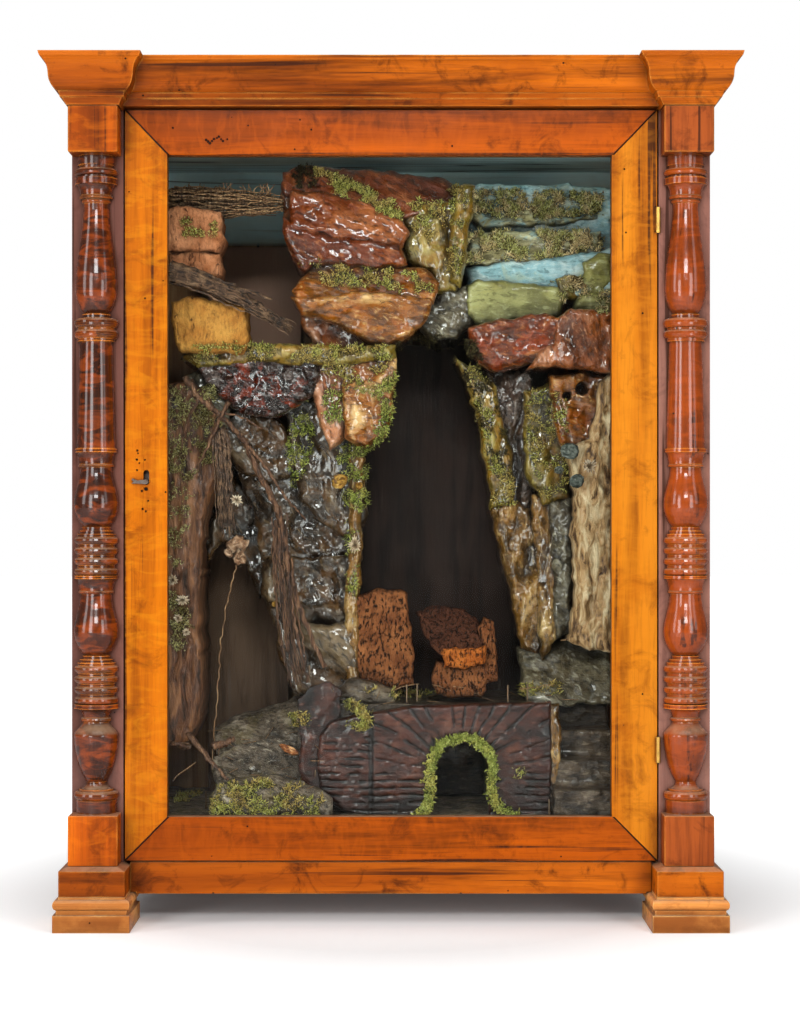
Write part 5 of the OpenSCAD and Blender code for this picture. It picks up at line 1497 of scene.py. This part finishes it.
def straw_bits():
    """Short straws strewn on the ground and the stage."""
    draw = np.random.default_rng(301)
    vertices, faces = [], []
    number = 0
    for _ in range(46):
        px, py = 176 + 410 * draw.random(), 704 - 18 * draw.random()
        if px < 330:
            py = 730 + 80 * draw.random()
        met = laid_at(px, py)
        if met is None:
            continue
        spot = met[0]
        way = Vector((draw.normal(), draw.normal(0, 0.4), draw.normal(0, 0.25))).normalized()
        half = 0.004 + 0.006 * draw.random()
        start = spot - way * half + Vector((0, -0.001, 0.0006))
        end = spot + way * half + Vector((0, -0.001, 0.0012))
        points = np.array([start.lerp(end, t / 4) for t in range(5)])
        more, more_faces = tube(points, [0.0004] * 5, 4, 400 + number)
        number += 1
        faces += [tuple(len(vertices) + v for v in face) for face in more_faces]
        vertices += more
    new_piece("straw_bits", vertices, faces, straw_bark, np.full(len(vertices), 0.7))


leaf_grey = painted("leaf_grey", "44,50,46 104,112,104 160,166,156 76,84,74", gloss=0.5, coat=0.1, scale=2)
leaf_tan = painted("leaf_tan", "110,76,52 178,136,102 226,192,160 150,104,70", gloss=0.5, coat=0.1, scale=2)
leaf_ochre = painted("leaf_ochre", "110,70,16 180,130,44 226,184,96 150,100,30", gloss=0.5, coat=0.1, scale=2)
petal_paint = painted("petal", "140,100,62 216,184,142 250,232,204 190,150,110", gloss=0.6, coat=0.0, scale=2)
chip_paint = painted("chip", "110,52,22 200,124,66 240,186,130 170,92,44", gloss=0.5, coat=0.0, scale=2)
leaf("leaf_round_1", (570, 451), 0.07, (0.0098, 0.0086), 0.25, leaf_grey, 1)
leaf("leaf_round_2", (577, 481), 0.068, (0.0078, 0.007), 0.3, leaf_grey, 2, turn=0.5)
leaf("leaf_round_3", (559, 470), 0.074, (0.005, 0.004), 0.3, leaf_grey, 3)
leaf("leaf_dried_1", (237, 545), 0.058, (0.0105, 0.0085), 0.5, leaf_tan, 4, turn=0.4, notch=0.5)
leaf("leaf_dried_2", (240, 558), 0.06, (0.0085, 0.006), -0.5, leaf_tan, 5, turn=1.2, notch=0.6)
leaf("leaf_dried_3", (230, 552), 0.062, (0.006, 0.0045), 0.6, leaf_tan, 6, turn=2.2, notch=0.6)
leaf("leaf_ochre_1", (340, 481), 0.083, (0.0085, 0.0072), 0.3, leaf_ochre, 7, turn=0.5, notch=0.3)
leaf("leaf_ochre_2", (359, 486), 0.085, (0.0042, 0.0038), 0.3, leaf_ochre, 8, notch=0.4)
leaf("chip_orange", (289, 750), 0.066, (0.0102, 0.0036), 0.2, chip_paint, 9, turn=-0.4, notch=0.4,
     thick=0.0015)
leaf("chip_left", (184, 746), 0.05, (0.0075, 0.0034), 0.2, leaf_tan, 10, turn=0.1, notch=0.4, thick=0.001)
leaf("chip_bark", (223, 744), 0.055, (0.0092, 0.0032), 0.2, chip_paint, 11, turn=0.3, notch=0.4, thick=0.0015)
leaf("leaf_cork_foot", (276, 604), 0.09, (0.004, 0.003), 0.3, leaf_ochre, 12, notch=0.4)
daisy("daisy_0", 355, 545, 0.088, 0.0085, 15, 320)
daisy("daisy_1", 237, 500, 0.058, 0.0066, 12, 321)
daisy("daisy_2", 173, 580, 0.05, 0.0066, 12, 322)
daisy("daisy_3", 183, 600, 0.05, 0.0072, 13, 323)
daisy("daisy_4", 589, 466, 0.066, 0.0085, 15, 324)
daisy("daisy_5", 178, 618, 0.052, 0.005, 11, 325)
daisy("daisy_6", 186, 632, 0.054, 0.005, 10, 326)
straw_bits()
